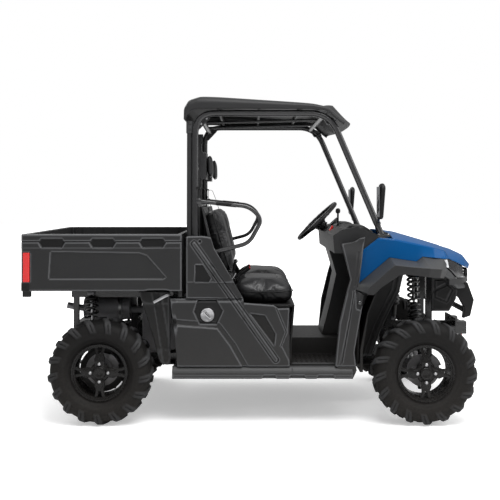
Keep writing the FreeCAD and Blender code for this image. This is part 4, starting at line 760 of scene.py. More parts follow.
def rim_piece(end):
    """A rim: a turned barrel with its lips, four forked spokes, nuts and a plain cap."""
    centre = WHEELS[end, "right"][:3]
    x, y, z = centre
    body = "wheel_%s_right" % end
    name = "rim_%s_right" % end
    face = y - RIM_HALF + 0.022
    lip = RIM_HALF + 0.007
    barrel = turned(name + "_barrel", centre, [
        (-lip, 0.1635), (-lip - 0.001, 0.1655), (-lip + 0.003, 0.168), (-lip + 0.007, 0.1655),
        (-lip + 0.009, 0.1535), (lip - 0.009, 0.1535), (lip - 0.007, 0.1655),
        (lip - 0.003, 0.168), (lip, 0.165), (lip - 0.001, 0.160), (lip - 0.016, 0.146),
        (0.02, 0.142), (-0.03, 0.142), (-lip + 0.020, 0.146), (-lip + 0.012, 0.1475),
        (-lip + 0.010, 0.1545), (-lip + 0.002, 0.157)], "rim", body, 96, closed=True)
    parts = [barrel]
    for quarter in range(4):
        tag = "%s_spoke_%d" % (name, quarter)
        for label, shape in SPOKE_PARTS:
            stations = [(r, -half, half, face - back, face - front)
                        for r, half, back, front in shape]
            parts.append(spoke_bar("%s_%s" % (tag, label), stations, quarter, centre, body))
        for arm, outer in enumerate((1, -1)):
            stations = [(r, *sorted((outer * slot, outer * edge)), face - back, face + 0.004)
                        for r, slot, edge, back in SPOKE_ARM]
            parts.append(spoke_bar("%s_arm_%d" % (tag, arm), stations, quarter, centre, body))
        turn = quarter * math.pi / 2
        nut = (x + 0.052 * math.sin(turn), face - 0.024, z + 0.052 * math.cos(turn))
        parts.append(turned(tag + "_nut", nut, [(0.004, 0.0105), (-0.004, 0.0105), (-0.006, 0.0095),
                                                (-0.014, 0.0085), (-0.016, 0.006)],
                            "steel", body, 12))
    middle = (x, face, z)
    parts.append(turned(name + "_disc", middle, [
        (0.0, 0.058), (-0.012, 0.058), (-0.019, 0.052), (-0.021, 0.040), (-0.024, 0.037),
        (-0.036, 0.035), (-0.0385, 0.032), (-0.0395, 0.025), (-0.0375, 0.022), (-0.0375, 0.004)],
        "rim", body, 64))
    parts.append(turned(name + "_hub", middle, [
        (0.0, 0.044), (0.030, 0.044), (0.060, 0.040), (0.064, 0.034)], "frame", body, 40))
    valve = (x + 0.128 * math.sin(0.8), face - 0.006, z - 0.128 * math.cos(0.8))
    parts.append(turned(name + "_valve", valve, [(0.02, 0.004), (-0.016, 0.004), (-0.018, 0.0028),
                                                 (-0.028, 0.0028)], "black", body, 12))
    return merge(name + "_spoked", parts, body)


for end in ("front", "rear"):
    tread = tyre_piece(end)
    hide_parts("tyre_%s_right" % end)
    other = mirror_piece(tread, "tyre_%s_left_tread" % end, "wheel_%s_left" % end)
    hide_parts("tyre_%s_left" % end)
    spoked = rim_piece(end)
    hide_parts("rim_%s_right" % end)
    other = mirror_piece(spoked, "rim_%s_left_spoked" % end, "wheel_%s_left" % end)
    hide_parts("rim_%s_left" % end)

# Brakes behind the spokes: a flat disc turns with the wheel and a caliper stays with its carrier;
# in the rear wheels a dark disc behind the spokes stands in for the shade inside the wheel
for end, at, holder in (("front", 0.628, "knuckle_right"), ("rear", 0.600, "root")):
    x, _, z = WHEELS[end, "right"][:3]
    disc = turned("brake_disc_%s_right" % end, (x, -at, z), [
        (0.0022, 0.060), (0.0022, 0.0980), (-0.0022, 0.0980), (-0.0022, 0.060),
        (-0.0030, 0.045), (0.0030, 0.045)], "cast", "wheel_%s_right" % end, 72, closed=True)
    mirror_piece(disc, "brake_disc_%s_left" % end, "wheel_%s_left" % end)
    turn = np.radians(np.linspace(28, 72, 9))
    path = np.stack([x + 0.088 * np.sin(turn), np.full_like(turn, -at),
                     z + 0.088 * np.cos(turn)], -1)
    jaw = solid("brake_caliper_%s_right" % end, carried(path, slab(0.040, 0.046, 0.008, 4)),
                "cast", holder)
    mirror_piece(jaw, "brake_caliper_%s_left" % end, holder.replace("right", "left"))
    if end == "rear":
        # A dark disc behind the rear spokes: painted shade inside the wheel
        rear_shade_disc = turned("brake_shield_right", (x, -at + 0.020, z), [
            (0.001, 0.058), (0.001, 0.112), (-0.003, 0.124), (-0.010, 0.134), (-0.012, 0.134),
            (-0.005, 0.123), (-0.001, 0.112), (-0.001, 0.058)], "black", holder, 72, closed=True)
        mirror_piece(rear_shade_disc, "brake_shield_left", "root")


def mm(*corners):
    """Corners given in millimetres, as metres."""
    return np.array(corners, float) / 1000


# The tipping bed

BED_RAIL_Z = BED_HIGH[2]
POCKETS = (-1.2114, -0.913, -0.620)
FIELD = mm((-1215, 1014), (-700, 1006), (-655, 992), (-545, 866), (-560, 858), (-1225, 858))
GROOVES = (0.096, 0.288, 0.480)


def rail_pockets(x, z):
    """Distance to the nearest of the three six-sided pockets along the bed's rail."""
    shape = mm((-62, 1091), (62, 1091), (76, 1068), (60, 1041), (-60, 1041), (-76, 1068))
    return np.min([outline_sdf(x - middle, z, shape) for middle in POCKETS], axis=0)


def bed_side_height(x, z):
    """The bed's side: two ribs along the top with a groove between them, three pockets cut
    through them, and a sunken field whose lower edge rises to a diagonal."""
    rib = step(z, BED_RAIL_Z - 0.085, 0.006) * 0.003
    groove = band(z, BED_RAIL_Z - 0.049, BED_RAIL_Z - 0.041, 0.003) * 0.006
    crown = 0.004 * step(z, BED_RAIL_Z - 0.004, 0.010)
    height = rib - groove - crown - 0.0035
    height = height - 0.011 * (1 - step(rail_pockets(x, z), 0, 0.005)) * step(z, 1.036, 0.004)
    field = outline_sdf(x, z, FIELD)
    height = height - 0.007 * (1 - step(field, 0, 0.008))
    lower = band(z, BED_LOW[2], BED_LOW[2] + 0.016, 0.006) * 0.003
    return np.maximum(height, -0.0115) + lower


def bed_side():
    """The bed's outer wall on the right, with the lamp's seat cut out of its rear corner."""
    notch = [(-668, 785), (-646, 791), (-542, 791), (-520, 785)]
    outline = mm((-1389, 785), *notch, (-450.5, 785), (-450.5, 1119), (-1389, 1119))
    lamp_low, lamp_high = low("tail_lamps"), high("tail_lamps")

    def height(x, z):
        seat = band(x, lamp_low[0] - 0.001, lamp_high[0] + 0.001, 0.0015) * \
            band(z, lamp_low[2] - 0.001, lamp_high[2] + 0.001, 0.0015)
        return bed_side_height(x, z) * (1 - seat) - 0.0415 * seat
    side = relief_panel("bed_side_right", outline, BED_HIGH[1], 0.0275, height, "charcoal", "bed",
                        0.0035, 0.004)
    # Painted shade: the sunken pockets along the rail are painted black
    return painted(side, "black", lambda x, y, z: rail_pockets(x, z) < -0.003)


def wall_ribs(along, pitch):
    """1 on upright ribs at an even pitch and 0 between them, with soft sides."""
    return 1 - step(0.5 + 0.5 * np.cos(2 * np.pi * along / pitch), 0.35, 0.25)


def bed_wall(name, face, back, foot, top):
    """An upright wall of the bed between two lines of (x, y) points."""
    ring = np.concatenate([face, back])
    rings = [np.column_stack([ring, np.full(len(ring), z)]) for z in (foot, top)]
    return solid(name, np.array(rings), "charcoal", "bed")


def bed_inside():
    """The bed's floor with ribs along it, and its front wall with upright ribs."""
    y_in = BED_HIGH[1] - 0.028
    x0, x1 = BED_LOW[0] + 0.049, BED_HIGH[0] - 0.028
    floor_z = frame["record"]["mounts"][0]["pos_m"][2]
    across = np.linspace(-y_in, y_in, 560)
    rise = np.zeros(len(across))
    for groove in GROOVES:
        rise -= 0.005 * (1 - step(np.abs(np.abs(across) - groove), 0.030, 0.008))
    under = np.full(len(across), floor_z - 0.012)
    ring = np.concatenate([np.stack([across, floor_z + rise], -1),
                           np.stack([across[::-1], under], -1)])
    points = [np.column_stack([np.full(len(ring), x), ring]) for x in np.linspace(x0, x1, 3)]
    solid("bed_floor_ribbed", np.array(points), "charcoal", "bed")
    ys = np.linspace(-y_in, y_in, 300)
    bed_wall("bed_front_wall", np.stack([x1 + 0.0005 + 0.006 * wall_ribs(ys, 0.19), ys], -1),
             np.stack([np.full_like(ys, BED_HIGH[0] - 0.0005), ys[::-1]], -1), BED_LOW[2] + 0.001,
             BED_RAIL_Z - 0.001)


def plate_piece(name, corners, depths, material, body="root", plane="side", edge=0.002):
    """A flat plate: an outline across one plane, from one depth to another."""
    corners = np.array(corners, float)
    count = len(corners)
    rings = []
    for depth in depths:
        fill = np.full(count, depth)
        rings.append({"side": np.stack([corners[:, 0], fill, corners[:, 1]], -1),
                      "front": np.stack([fill, corners[:, 0], corners[:, 1]], -1),
                      "top": np.stack([corners[:, 0], corners[:, 1], fill], -1)}[plane])
    piece = solid(name, np.array(rings), material, body, smooth=30)
    if edge:
        bevelled(piece, edge, 25)
    return piece


def bed_pieces():
    """The whole bed, standing in for its CAD node."""
    right = bed_side()
    both_sides(right)
    bed_inside()
    xs = np.linspace(BED_LOW[0] + 0.049, BED_HIGH[0] - 0.029, 240)
    y_in = BED_HIGH[1] - 0.0278
    liner = bed_wall("bed_liner_right",
                     np.stack([xs, -(y_in - 0.0055) - 0.005 * wall_ribs(xs, 0.155)], -1),
                     np.stack([xs[::-1], np.full_like(xs, -(y_in + 0.004))], -1), 0.812,
                     BED_RAIL_Z - 0.006)
    both_sides(liner)
    post = plate_piece("bed_post_right", mm((-1389, -672), (-1342, -672), (-1342, -640),
                                            (-1389, -639)), (BED_LOW[2], BED_RAIL_Z), "charcoal",
                       "bed", "top")
    hinge = plate_piece("bed_hinge_right", mm((-1170, 800), (-1166, 758), (-1158, 748),
                                              (-1142, 748), (-1134, 758), (-1090, 800)),
                        (-0.364, -0.352), "frame", "bed")
    pin = pipe("gate_pin_right", [(-1.373, -0.675, 0.8), (-1.373, -0.612, 0.8)], 0.007, "steel",
               "bed", side=(0, 0, 1))
    block = plate_piece("bed_lamp_block_right", mm((-1389.5, 786), (-1342, 786), (-1342, 834),
                                                   (-1389.5, 834)), (-0.7, -0.688), "black", "bed")
    for piece in (post, hinge, pin, block):
        both_sides(piece)
    beam = plate_piece("bed_beam_right", mm((-1320, 786), (-470, 786), (-470, 799), (-1320, 799)),
                       (-0.36, -0.32), "frame", "bed")
    both_sides(beam)
    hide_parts("bed")


def tailgate_piece():
    """The tailgate: three sunken fields, each with a raised middle, under a pull."""
    half = high("tailgate")[1]
    ys, zs = np.meshgrid(np.linspace(-half, half, 300),
                         np.linspace(low("tailgate")[2], BED_RAIL_Z, 100), indexing="ij")
    rise = np.zeros(ys.shape)
    for start, end in ((-560, -300), (-260, 260), (300, 560)):
        field = outline_sdf(ys, zs, mm((start, 1049), (end, 1049), (end, 845), (start, 845)))
        rise -= 0.0105 * (1 - step(field, -0.005, 0.010))
        rise += 0.004 * (1 - step(field, -0.035, 0.012))
    rise -= 0.007 * (1 - step(outline_sdf(ys, zs, mm((-80, 1102), (80, 1102), (70, 1066),
                                                     (-70, 1066))), 0, 0.008))
    x = BED_LOW[0] + 0.0005 - rise
    front = np.stack([x, ys, zs], -1)
    back = np.stack([np.full(ys.shape, BED_LOW[0] + 0.034), ys, zs], -1)
    ring = np.concatenate([front, back[:, ::-1]], 1)
    gate = solid("tailgate_fields", ring, "charcoal", "tailgate")
    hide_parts("tailgate")
    bevelled(gate, 0.002, 60)


bed_pieces()
tailgate_piece()
dressed("tail_lamps", "red_lens", 0.003)
foot = plate_piece("lamp_foot_right", mm((-1388, 831), (-1341, 831), (-1341, 837.6),
                                         (-1388, 837.6)), (-0.7, -0.66), "charcoal_light", "bed")
both_sides(foot)


# Side panels of the cab

STRUT = mm((-378, 1062), (101, 382))
FUEL_POCKET = mm((-356, 733), (-248, 733), (-210, 669), (-245, 592), (-345, 592), (-378, 664))
SIDE_WINDOW = mm((-48, 652), (37, 641), (99, 534), (91, 466))
QUARTER_WINDOW = mm((-370, 938), (-327, 938), (-280, 862), (-290, 838), (-372, 838))


def strut_ridge(x, z):
    """A raised strip down the strut line, with a dark groove on each side of it."""
    away = line_sdf(x, z, STRUT)
    ridge = 0.005 * (1 - step(away, 0.010, 0.006))
    groove = 0.005 * bell(away, 0.016, 0.003)
    return ridge - groove


def side_panel_height(x, z):
    """The side panel: a chamfer along its top, a deep six-sided fuel pocket, a sunken crease
    across it that turns down, and the strut's strip."""
    chamfer = 0.014 * step(z, 0.7285, 0.023) * (x < -0.10)
    pocket = outline_sdf(x, z, FUEL_POCKET)
    crease = line_sdf(x, z, mm((-540, 606), (-235, 582), (-150, 470), (-70, 330)))
    height = -chamfer - 0.006 * (1 - step(crease, 0.014, 0.006))
    below = step(outline_sdf(x, z, mm((-600, 590), (-240, 566), (-166, 466), (-90, 330),
                                      (-600, 330))), 0, 0.008)
    height = height - 0.004 * below
    window = outline_sdf(x, z, SIDE_WINDOW)
    height = height - 0.010 * (1 - step(window, 0, 0.006))
    height = height + np.where(x > -0.48, strut_ridge(x, z), 0)
    seam = line_sdf(x, z, mm((106, 682), (163, 545), (132, 462)))
    height = height - 0.005 * bell(seam, 0, 0.0025)
    return np.where(pocket < 0.004, height - 0.013 * (1 - step(pocket, 0, 0.006)), height)


def quarter_height(x, z):
    """The upper quarter: a step line, a small sunken window, a round hole and the strut."""
    line = 0.004 * step(z, 0.834, 0.004)
    window = outline_sdf(x, z, QUARTER_WINDOW)
    height = -0.004 + line - 0.006 * (1 - step(window, 0, 0.004))
    rim = 0.003 * bell(window, 0.003, 0.0025)
    hole = np.hypot(x + 0.344, z - 1.076)
    height = height + rim - 0.012 * (1 - step(hole, 0.007, 0.004))
    return height + strut_ridge(x, z)


def rocker_piece():
    """The rocker: a box along the sill whose outer face leans in to its top, with three
    notches cut up from its lower edge."""
    x0, x1 = low("rockers")[0], high("rockers")[0]
    z0, z1 = low("rockers")[2], high("rockers")[2]
    outline = [(x0, z0), (x1, z0), (x1, z1), (x0, z1)]

    def height(x, z):
        lean = -0.018 * step(z, z1 - 0.012, 0.040)
        notch = np.full(x.shape, 1.0)
        for left, right in ((0.016, 0.110), (0.174, 0.282), (0.337, 0.452)):
            shape = [(left, z0 - 0.01), (right, z0 - 0.01), (right - 0.014, z0 + 0.020),
                     (left + 0.014, z0 + 0.020)]
            notch = np.minimum(notch, outline_sdf(x, z, shape))
        seam = 0.004 * bell(x, 0.195, 0.002)
        crease = 0.004 * bell(z - z0, 0.030, 0.004)
        return lean - 0.016 * (1 - step(notch, 0, 0.006)) - seam - crease
    return relief_panel("rocker_right", outline, PANEL_Y, 0.049, height, "charcoal", cell=0.004)


def side_panels():
    """The cab's panels on both sides, in place of their CAD nodes."""
    lower = relief_panel("side_panel_right", mm(
        (-519, 740), (-88, 740), (-86, 715), (88, 702), (116, 682), (183, 684), (173, 540),
        (139, 463), (183, 376), (184, 342), (-478, 342), (-490, 499), (-510, 663)),
        PANEL_Y, 0.0295, side_panel_height, "charcoal", cell=0.0032)
    upper = relief_panel("quarter_panel_right", mm(
        (-425, 741), (-425, 1100), (-410, 1106), (-330, 1108), (-280, 1100), (-262, 1040),
        (-90, 741)), PANEL_Y - 0.001, 0.0285, quarter_height, "charcoal", cell=0.0035)
    sill = rocker_piece()
    # Painted shade: the sunken fuel pocket and windows are painted black
    painted(lower, "black", lambda x, y, z: np.minimum(
        outline_sdf(x, z, FUEL_POCKET), outline_sdf(x, z, SIDE_WINDOW)) < -0.002)
    painted(upper, "black", lambda x, y, z: outline_sdf(x, z, QUARTER_WINDOW) < -0.002)
    # Painted highlight: the rocker's top band takes the paler charcoal
    painted(sill, "charcoal_light", lambda x, y, z: z > high("rockers")[2] - 0.042)
    for piece, node in ((lower, "side_panels"), (upper, "quarter_panels"), (sill, "rockers")):
        both_sides(piece)
        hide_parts(node)


def front_post_height(x, z):
    """The front post's panel: its rear edge stands proud, a seam runs down it, and a lamp's
    well is sunk below the flare's end."""
    seam = line_sdf(x, z, mm((560, 780), (548, 700), (520, 540), (489, 364)))
    well = outline_sdf(x, z, mm((574, 782), (622, 772), (610, 700), (596, 676), (576, 682)))
    right = step(x - 0.53 - (z - 0.6) * 0.22, 0.0, 0.012)
    fold = line_sdf(x, z, mm((588, 1010), (566, 820)))
    height = -0.005 * bell(seam, 0, 0.0028) - 0.004 * right
    height = height - 0.014 * (1 - step(well, 0, 0.006)) - 0.003 * bell(fold, 0, 0.006)
    return height - 0.02 * step(z, 1.03, 0.12)


def front_post():
    """The charcoal panel between the door opening and the front wheel, the shoe under it and a
    small smoked side marker."""
    post = relief_panel("front_post_right", mm(
        (450, 342), (462, 457), (475, 590), (523, 788), (542, 851), (505, 995), (488, 1061),
        (567, 1074), (600, 1095), (628, 1101), (613, 1016), (589, 818), (568, 786), (622, 764),
        (592, 600), (563, 425), (573, 342)), PANEL_Y, 0.048, front_post_height, "charcoal",
        cell=0.0035, upright=True)
    both_sides(post)
    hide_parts("front_posts")
    shoe = plate_piece("post_shoe_right", mm((452, 342), (554, 272), (576, 318), (573, 342)),
                       (-0.688, -0.645), "charcoal")
    both_sides(shoe)
    bulb = turned("side_marker_right", (0.594, -0.680, 0.715), [
        (0.0, 0.011), (-0.004, 0.011), (-0.007, 0.008), (-0.008, 0.003)], "smoke_lens", sides=20)
    both_sides(bulb)


# Front body

def curve_rows(rows, count):
    """Rows of matching corners, each spread to the same even count along its length."""
    out = []
    for row in rows:
        row = np.array(row, float) / 1000
        at = np.linspace(0, 1, len(row))
        fine = np.linspace(0, 1, count)
        out.append(np.stack([np.interp(fine, at, row[:, k]) for k in range(3)], -1))
    return np.array(out)


HOOD_CREASE = [(805.5, 583, 1086), (896, 577, 1068), (1050, 554, 1034), (1130, 514, 1010),
               (1165, 470, 963), (1233, 395, 934), (1300, 308, 903), (1350, 190, 881)]
HOOD_CENTRE = [(805.5, 0, 1122), (896, 0, 1112), (1050, 0, 1067), (1130, 0, 1043),
               (1165, 0, 1030), (1257, 0, 1002), (1322, 0, 973), (1389, 0, 905)]
HOOD_STATIONS = 106
HOOD_ACROSS = 111


def hood_shell():
    """The hood: each station runs from its crease on one side over a crowned top to the other,
    as the crease's height plus the rise to the centre line times one less a power of the
    distance from the middle, with two raised folds along it."""
    top, edge = curve_rows([HOOD_CENTRE, HOOD_CREASE], HOOD_STATIONS)[:, :, None]
    v = np.linspace(-1, 1, HOOD_ACROSS)[None, :]
    points = np.zeros((HOOD_STATIONS, HOOD_ACROSS, 3))
    points[..., 0] = edge[..., 0] + (top - edge)[..., 0] * (1 - v ** 2)
    points[..., 1] = edge[..., 1] * v
    points[..., 2] = edge[..., 2] + (top - edge)[..., 2] * (1 - np.abs(v) ** 4.7)
    ramp = np.sin(np.linspace(0.12, 1, HOOD_STATIONS) * np.pi)[:, None]
    points[..., 2] -= 0.007 * band(np.abs(v), 0.18, 0.56, 0.10) * ramp
    points[..., 2] -= 0.0015
    hood = skin("hood_shell", points, "blue", smooth=25)
    walled(hood, 0.004)
    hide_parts("hood")


FENDER_LOW = [(592, 600, 817), (616, 600, 837.3), (719, 600, 924.5), (781, 600, 977),
              (815, 600, 971.9), (942, 600, 953), (979, 600, 982), (1050, 594, 974.2),
              (1125, 560, 966), (1151, 520, 965)]
FENDER_HIGH = [(592, 600, 821), (616, 600, 1014), (719, 600, 1094), (781, 598, 1090),
               (815, 596, 1086), (942, 586, 1058), (979, 582, 1050), (1050, 568, 1032),
               (1125, 528, 1008), (1151, 510, 976)]


def fenders():
    """The blue side panels over the front wheels: ruled between the flare's line and the
    hood's edge, hollowed a little between them and rolled in along the top."""
    low_row, high_row = curve_rows([FENDER_LOW, FENDER_HIGH], 100)
    v = np.linspace(0, 1, 26)[None, :, None]
    face = low_row[:, None] * (1 - v) + high_row[:, None] * v
    face = face * np.array([1, -1, 1])
    belly = np.sin(v[..., 0] * np.pi) * 0.004
    roll = 0.006 * step(v[..., 0], 0.96, 0.10)
    face[..., 1] += belly * 0.5 + roll
    back = face[:, ::-1] + np.array([0, 0.007, 0])
    side = solid("fender_right", np.concatenate([face, back], 1), "blue", smooth=30)
    both_sides(side)
    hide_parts("fenders")


FLARE = {
    "inner": [(572, 592, 787), (592, 592, 816.7), (781, 592, 976.7), (942, 592, 952.7),
              (979, 592, 981.7), (1112, 562, 967.2), (1137, 530, 934)],
    "crease": [(630, 744, 776), (648, 744, 815), (791, 744, 940), (936, 744, 925),
               (1000, 736, 920), (1075, 690, 912), (1118, 618, 893)],
    "lower": [(668, 744, 767), (711, 744, 809), (815, 744, 879), (858, 744, 886),
              (988, 734, 870), (1066, 686, 861), (1104, 612, 853)],
}


def flare_piece():
    """A flare: rows of corners run from the blue panel's edge out to the crease and down its face;
    the same rows, set in by the wall, come back below. Faces that look up take the paler charcoal
    as a painted highlight, and the rest take the darker charcoal as painted shade."""
    inner, crease, lower = curve_rows([FLARE[key] for key in ("inner", "crease", "lower")], 90)
    wall = 0.011
    flat = np.array([1, -1, 1])
    lower_in = lower - np.array([0, wall, 0])
    crease_in = crease - np.array([0, wall, wall])
    inner_in = inner - np.array([0, 0, wall + 0.004])
    strips = []
    for first, second, count in ((inner, crease, 14), (crease, lower, 8), (lower, lower_in, 2),
                                 (lower_in, crease_in, 4), (crease_in, inner_in, 5)):
        t = np.linspace(0, 1, count, endpoint=False)[:, None, None]
        strips.append(first * (1 - t) + second * t)
    points = np.concatenate(strips + [inner_in[None]]) * flat
    flare = skin("front_flare_right", points, "charcoal_light", close_rows=True, smooth=28)
    with edited(flare.data) as work:
        bmesh.ops.holes_fill(work, edges=[e for e in work.edges if e.is_boundary])
        bmesh.ops.recalc_face_normals(work, faces=work.faces)
    bevelled(flare, 0.003, 30)
    flare.data.materials.append(MATERIALS["charcoal"])
    # Painted light: faces that look up keep the paler charcoal as a painted highlight, the others
    # take the darker charcoal as painted shade
    dark = gathered(flare.data.polygons, "normal")[:, 2] < 0.30
    flare.data.polygons.foreach_set("material_index", dark.astype(int))
    both_sides(flare)
    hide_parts("front_flares")


side_panels()
front_post()
hood_shell()
fenders()
flare_piece()


# Roof, cage and cab

def bolt(name, centre, radius, axis="y", out=-1, material="steel"):
    """A hexagon bolt on a flanged washer, standing out along an axis."""
    tall = radius * 0.9 * out
    return turned(name, centre, [(0.0, radius * 1.35), (tall * 0.2, radius * 1.35),
                                 (tall * 0.22, radius), (tall, radius * 0.94),
                                 (tall * 1.1, radius * 0.7)], material, "root", 12, axis)


def slat(name, path, width, height, material, side=(0.0, 1.0, 0.0), corner=0.002):
    """A flat bar with rounded edges carried along a path."""
    return solid(name, carried(np.array(path, float), slab(width, height, corner), side), material)


ROOF_CREST = [(-448, 0, 1803), (-447, 0, 1868), (-418, 0, 1918), (-336, 0, 1943), (316, 0, 1901),
              (430, 0, 1876), (540, 0, 1815), (589, 0, 1791)]
ROOF_HEM = [(-432, 0, 1803), (-426, 0, 1822), (-414, 0, 1842), (-385, 0, 1863), (320, 0, 1863),
            (410, 0, 1854), (480, 0, 1818), (576, 0, 1770)]
ROOF_STATIONS = 130
ROOF_ACROSS = 62
ROOF_EASE = 4


def eased_row(row):
    """A row of points averaged with its neighbours, its two ends kept."""
    ends = [np.repeat(end, ROOF_EASE, 0) for end in (row[:1], row[-1:])]
    padded = np.concatenate([ends[0], row, ends[1]])
    eased = np.mean([padded[k:k + len(row)] for k in range(2 * ROOF_EASE + 1)], axis=0)
    eased[0], eased[-1] = row[0], row[-1]
    return eased


def roof_shell():
    """The roof: each station runs up its side from the hem, over a quarter ellipse and across
    a slightly crowned top with sunken fields, to the other side. Three ribs cross under it."""
    half = high("roof_panel")[1]
    crest, hem = [eased_row(row) for row in curve_rows([ROOF_CREST, ROOF_HEM], ROOF_STATIONS)]
    turn = np.linspace(0, np.pi / 2, 9)
    edge_y = np.concatenate([np.full(5, half), half - 0.040 * (1 - np.cos(turn[1:]))])
    rise = np.concatenate([np.linspace(0, 0.5, 5), 0.5 + 0.5 * np.sin(turn[1:])])
    y = np.concatenate([edge_y, np.linspace(half - 0.045, 0, ROOF_ACROSS)])
    rise = np.concatenate([rise, np.ones(ROOF_ACROSS)])
    y = np.concatenate([-y, y[-2::-1]])
    rise = np.concatenate([rise, rise[-2::-1]])
    points = np.zeros((ROOF_STATIONS, len(y), 3))
    base, top = hem[:, None], crest[:, None]
    points[..., 0] = base[..., 0] + (top - base)[..., 0] * rise
    points[..., 1] = y
    points[..., 2] = base[..., 2] + (top - base)[..., 2] * rise
    x, width = points[..., 0], np.abs(y)[None]
    x -= 0.072 * step(x, 0.49, 0.24) * (width / half) ** 3
    camber = 0.003 * (1 - (width / half) ** 2) * (rise == 1)
    fields = band(width, 0.075, 0.265, 0.03) + band(width, 0.325, 0.520, 0.03)
    sunk = fields * band(x, -0.315, 0.290, 0.05) * 0.006
    peak = np.interp(x, [0.30, 0.40, 0.465, 0.53, 0.575], [0, 0.020, 0.052, 0.020, 0])
    visor = (1 - step(width, 0.40, 0.10)) * peak * (rise == 1)
    points[..., 2] += camber - sunk + visor
    points[..., 2] = np.minimum(points[..., 2], high("roof_panel")[2] - 0.001)
    roof = skin("roof_shell", points, "charcoal", smooth=40)
    walled(roof, 0.006)
    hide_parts("roof_panel")
    for number, x in enumerate((-0.243, 0.007, 0.257)):
        line = [(x, -0.585, 1.8785), (x, 0.585, 1.8785)]
        slat("roof_rib_%d" % number, line, 0.034, 0.014, "black", side=(0, 0, 1))


CAGE_TUBE = 0.019
RAIL_Y = 0.560
RAIL_Z = 1.841
HOOP_X = -0.378
LEG_X = HOOP_X - 0.033
PILLAR_FOOT_Z = 1.112


def cage_side(side):
    """One side frame of the cage: hoop leg, roof rail and front pillar in a single bent tube, with
    the second leg behind it and its sleeve with two bolts."""
    y = side * RAIL_Y
    tag = SIDE_NAME[side]
    main = rounded_path([(HOOP_X, side * 0.600, 0.701), (HOOP_X, y, RAIL_Z), (0.428, y, RAIL_Z),
                         (0.739, y, PILLAR_FOOT_Z)], 0.125, 14)
    leg = [(LEG_X, side * 0.574, 0.701), (LEG_X, side * 0.538, 1.771)]
    sleeve = [(LEG_X, side * 0.5395, 1.722), (LEG_X, side * 0.538, 1.792)]
    parts = [pipe("cage_rail_" + tag, main, CAGE_TUBE, "frame", sides=28),
             pipe("cage_leg_" + tag, leg, CAGE_TUBE, "frame", sides=28),
             pipe("cage_sleeve_" + tag, sleeve, CAGE_TUBE + 0.0045, "charcoal_light", sides=28)]
    for number, z in enumerate((1.742, 1.776)):
        parts.append(bolt("cage_sleeve_bolt_%s_%d" % (tag, number), (LEG_X, side * 0.562, z),
                          0.006, out=side, material="frame"))
    return merge("cage_side_" + tag, parts)


def cage_fittings(side):
    """Brackets of one side: the gusset in the front bend, the one in the rear bend, the plate
    under the pillar and its bolts."""
    y = side * (RAIL_Y - 0.016)
    rail_y = side * RAIL_Y
    tag = SIDE_NAME[side]
    faces = (y - 0.002, y + 0.002)
    front = plate_piece("front_gusset_" + tag, mm((352, 1826), (404, 1836), (452, 1812),
                                                 (470, 1782), (462, 1770), (446, 1780),
                                                 (420, 1806)), faces, "charcoal_light")
    arm = slat("visor_bracket_" + tag, rounded_path([(0.400, y, 1.800), (0.418, y, 1.772),
                                                     (0.470, y, 1.800)], 0.01), 0.036, 0.006,
               "charcoal_light")
    rear = plate_piece("rear_gusset_" + tag, mm((-362, 1748), (-350, 1748), (-290, 1812),
                                               (-290, 1824), (-330, 1828), (-362, 1800)),
                       faces, "frame")
    parts = [front, arm, rear]
    places = ((0.398, 1.822), (0.450, 1.788), (-0.345, 1.778), (-0.312, 1.812))
    for number, (x, z) in enumerate(places):
        parts.append(bolt("gusset_bolt_%s_%d" % (tag, number), (x, y + side * 0.002, z), 0.006,
                          out=side))
    parts.append(slat("pillar_foot_" + tag, [(0.712, rail_y, 1.1055), (0.790, rail_y, 1.1055)],
                      0.040, 0.013, "frame", corner=0.003))
    parts.append(plate_piece("pillar_web_" + tag, mm((700, 1168), (716, 1158), (782, 1112),
                                                    (722, 1112), (700, 1150)),
                             (rail_y - 0.0025, rail_y + 0.0025), "frame"))
    for number, x in enumerate((0.722, 0.778)):
        parts.append(bolt("pillar_foot_bolt_%s_%d" % (tag, number),
                          (x, side * (RAIL_Y + 0.010), PILLAR_FOOT_Z), 0.006, axis="z", out=1))
    return merge("cage_fittings_" + tag, parts)


def cage_cross():
    """The cage's cross tubes, from rail to rail."""
    parts = []
    for number, (x, z) in enumerate(((-0.343, 1.806), (HOOP_X, 1.530), (HOOP_X, 1.290),
                                     (0.388, 1.827))):
        parts.append(pipe("cage_cross_%d" % number, [(x, -RAIL_Y, z), (x, RAIL_Y, z)],
                          CAGE_TUBE - 0.003, "frame", side=(1, 0, 0), sides=24))
    for number, y in enumerate((-0.20, 0.20)):
        parts.append(pipe("roof_brace_%d" % number, [(-0.335, y, 1.812), (0.392, y, 1.832)],
                          0.009, "frame", sides=16))
    return merge("cage_cross_tubes", parts)


def hip_loop(side):
    """A hip bar: a bent loop beside the seat with its two feet and a sleeve."""
    tag = SIDE_NAME[side]
    path = rounded_path([(-0.354, side * 0.640, 1.312), (-0.052, side * 0.650, 1.281),
                         (0.022, side * 0.651, 1.205), (-0.056, side * 0.650, 1.064),
                         (-0.290, side * 0.647, 1.004)], 0.050, 10)
    parts = [pipe("hip_tube_" + tag, path, 0.0125, "frame", sides=24)]
    for number, (x, z) in enumerate(((-0.352, 1.312), (-0.288, 1.004))):
        parts.append(turned("hip_foot_%s_%d" % (tag, number), (x, side * 0.6385, z),
                            [(side * -0.010, 0.011), (side * -0.006, 0.016),
                             (side * 0.014, 0.016), (side * 0.016, 0.013)], "frame", sides=24))
    sleeve = [(x, side * 0.6447, z) for x, z in ((-0.250, 1.3015), (-0.130, 1.2892))]
    parts.append(pipe("hip_sleeve_" + tag, sleeve, 0.0142, "black", sides=24))
    return merge("hip_bar_" + tag, parts)


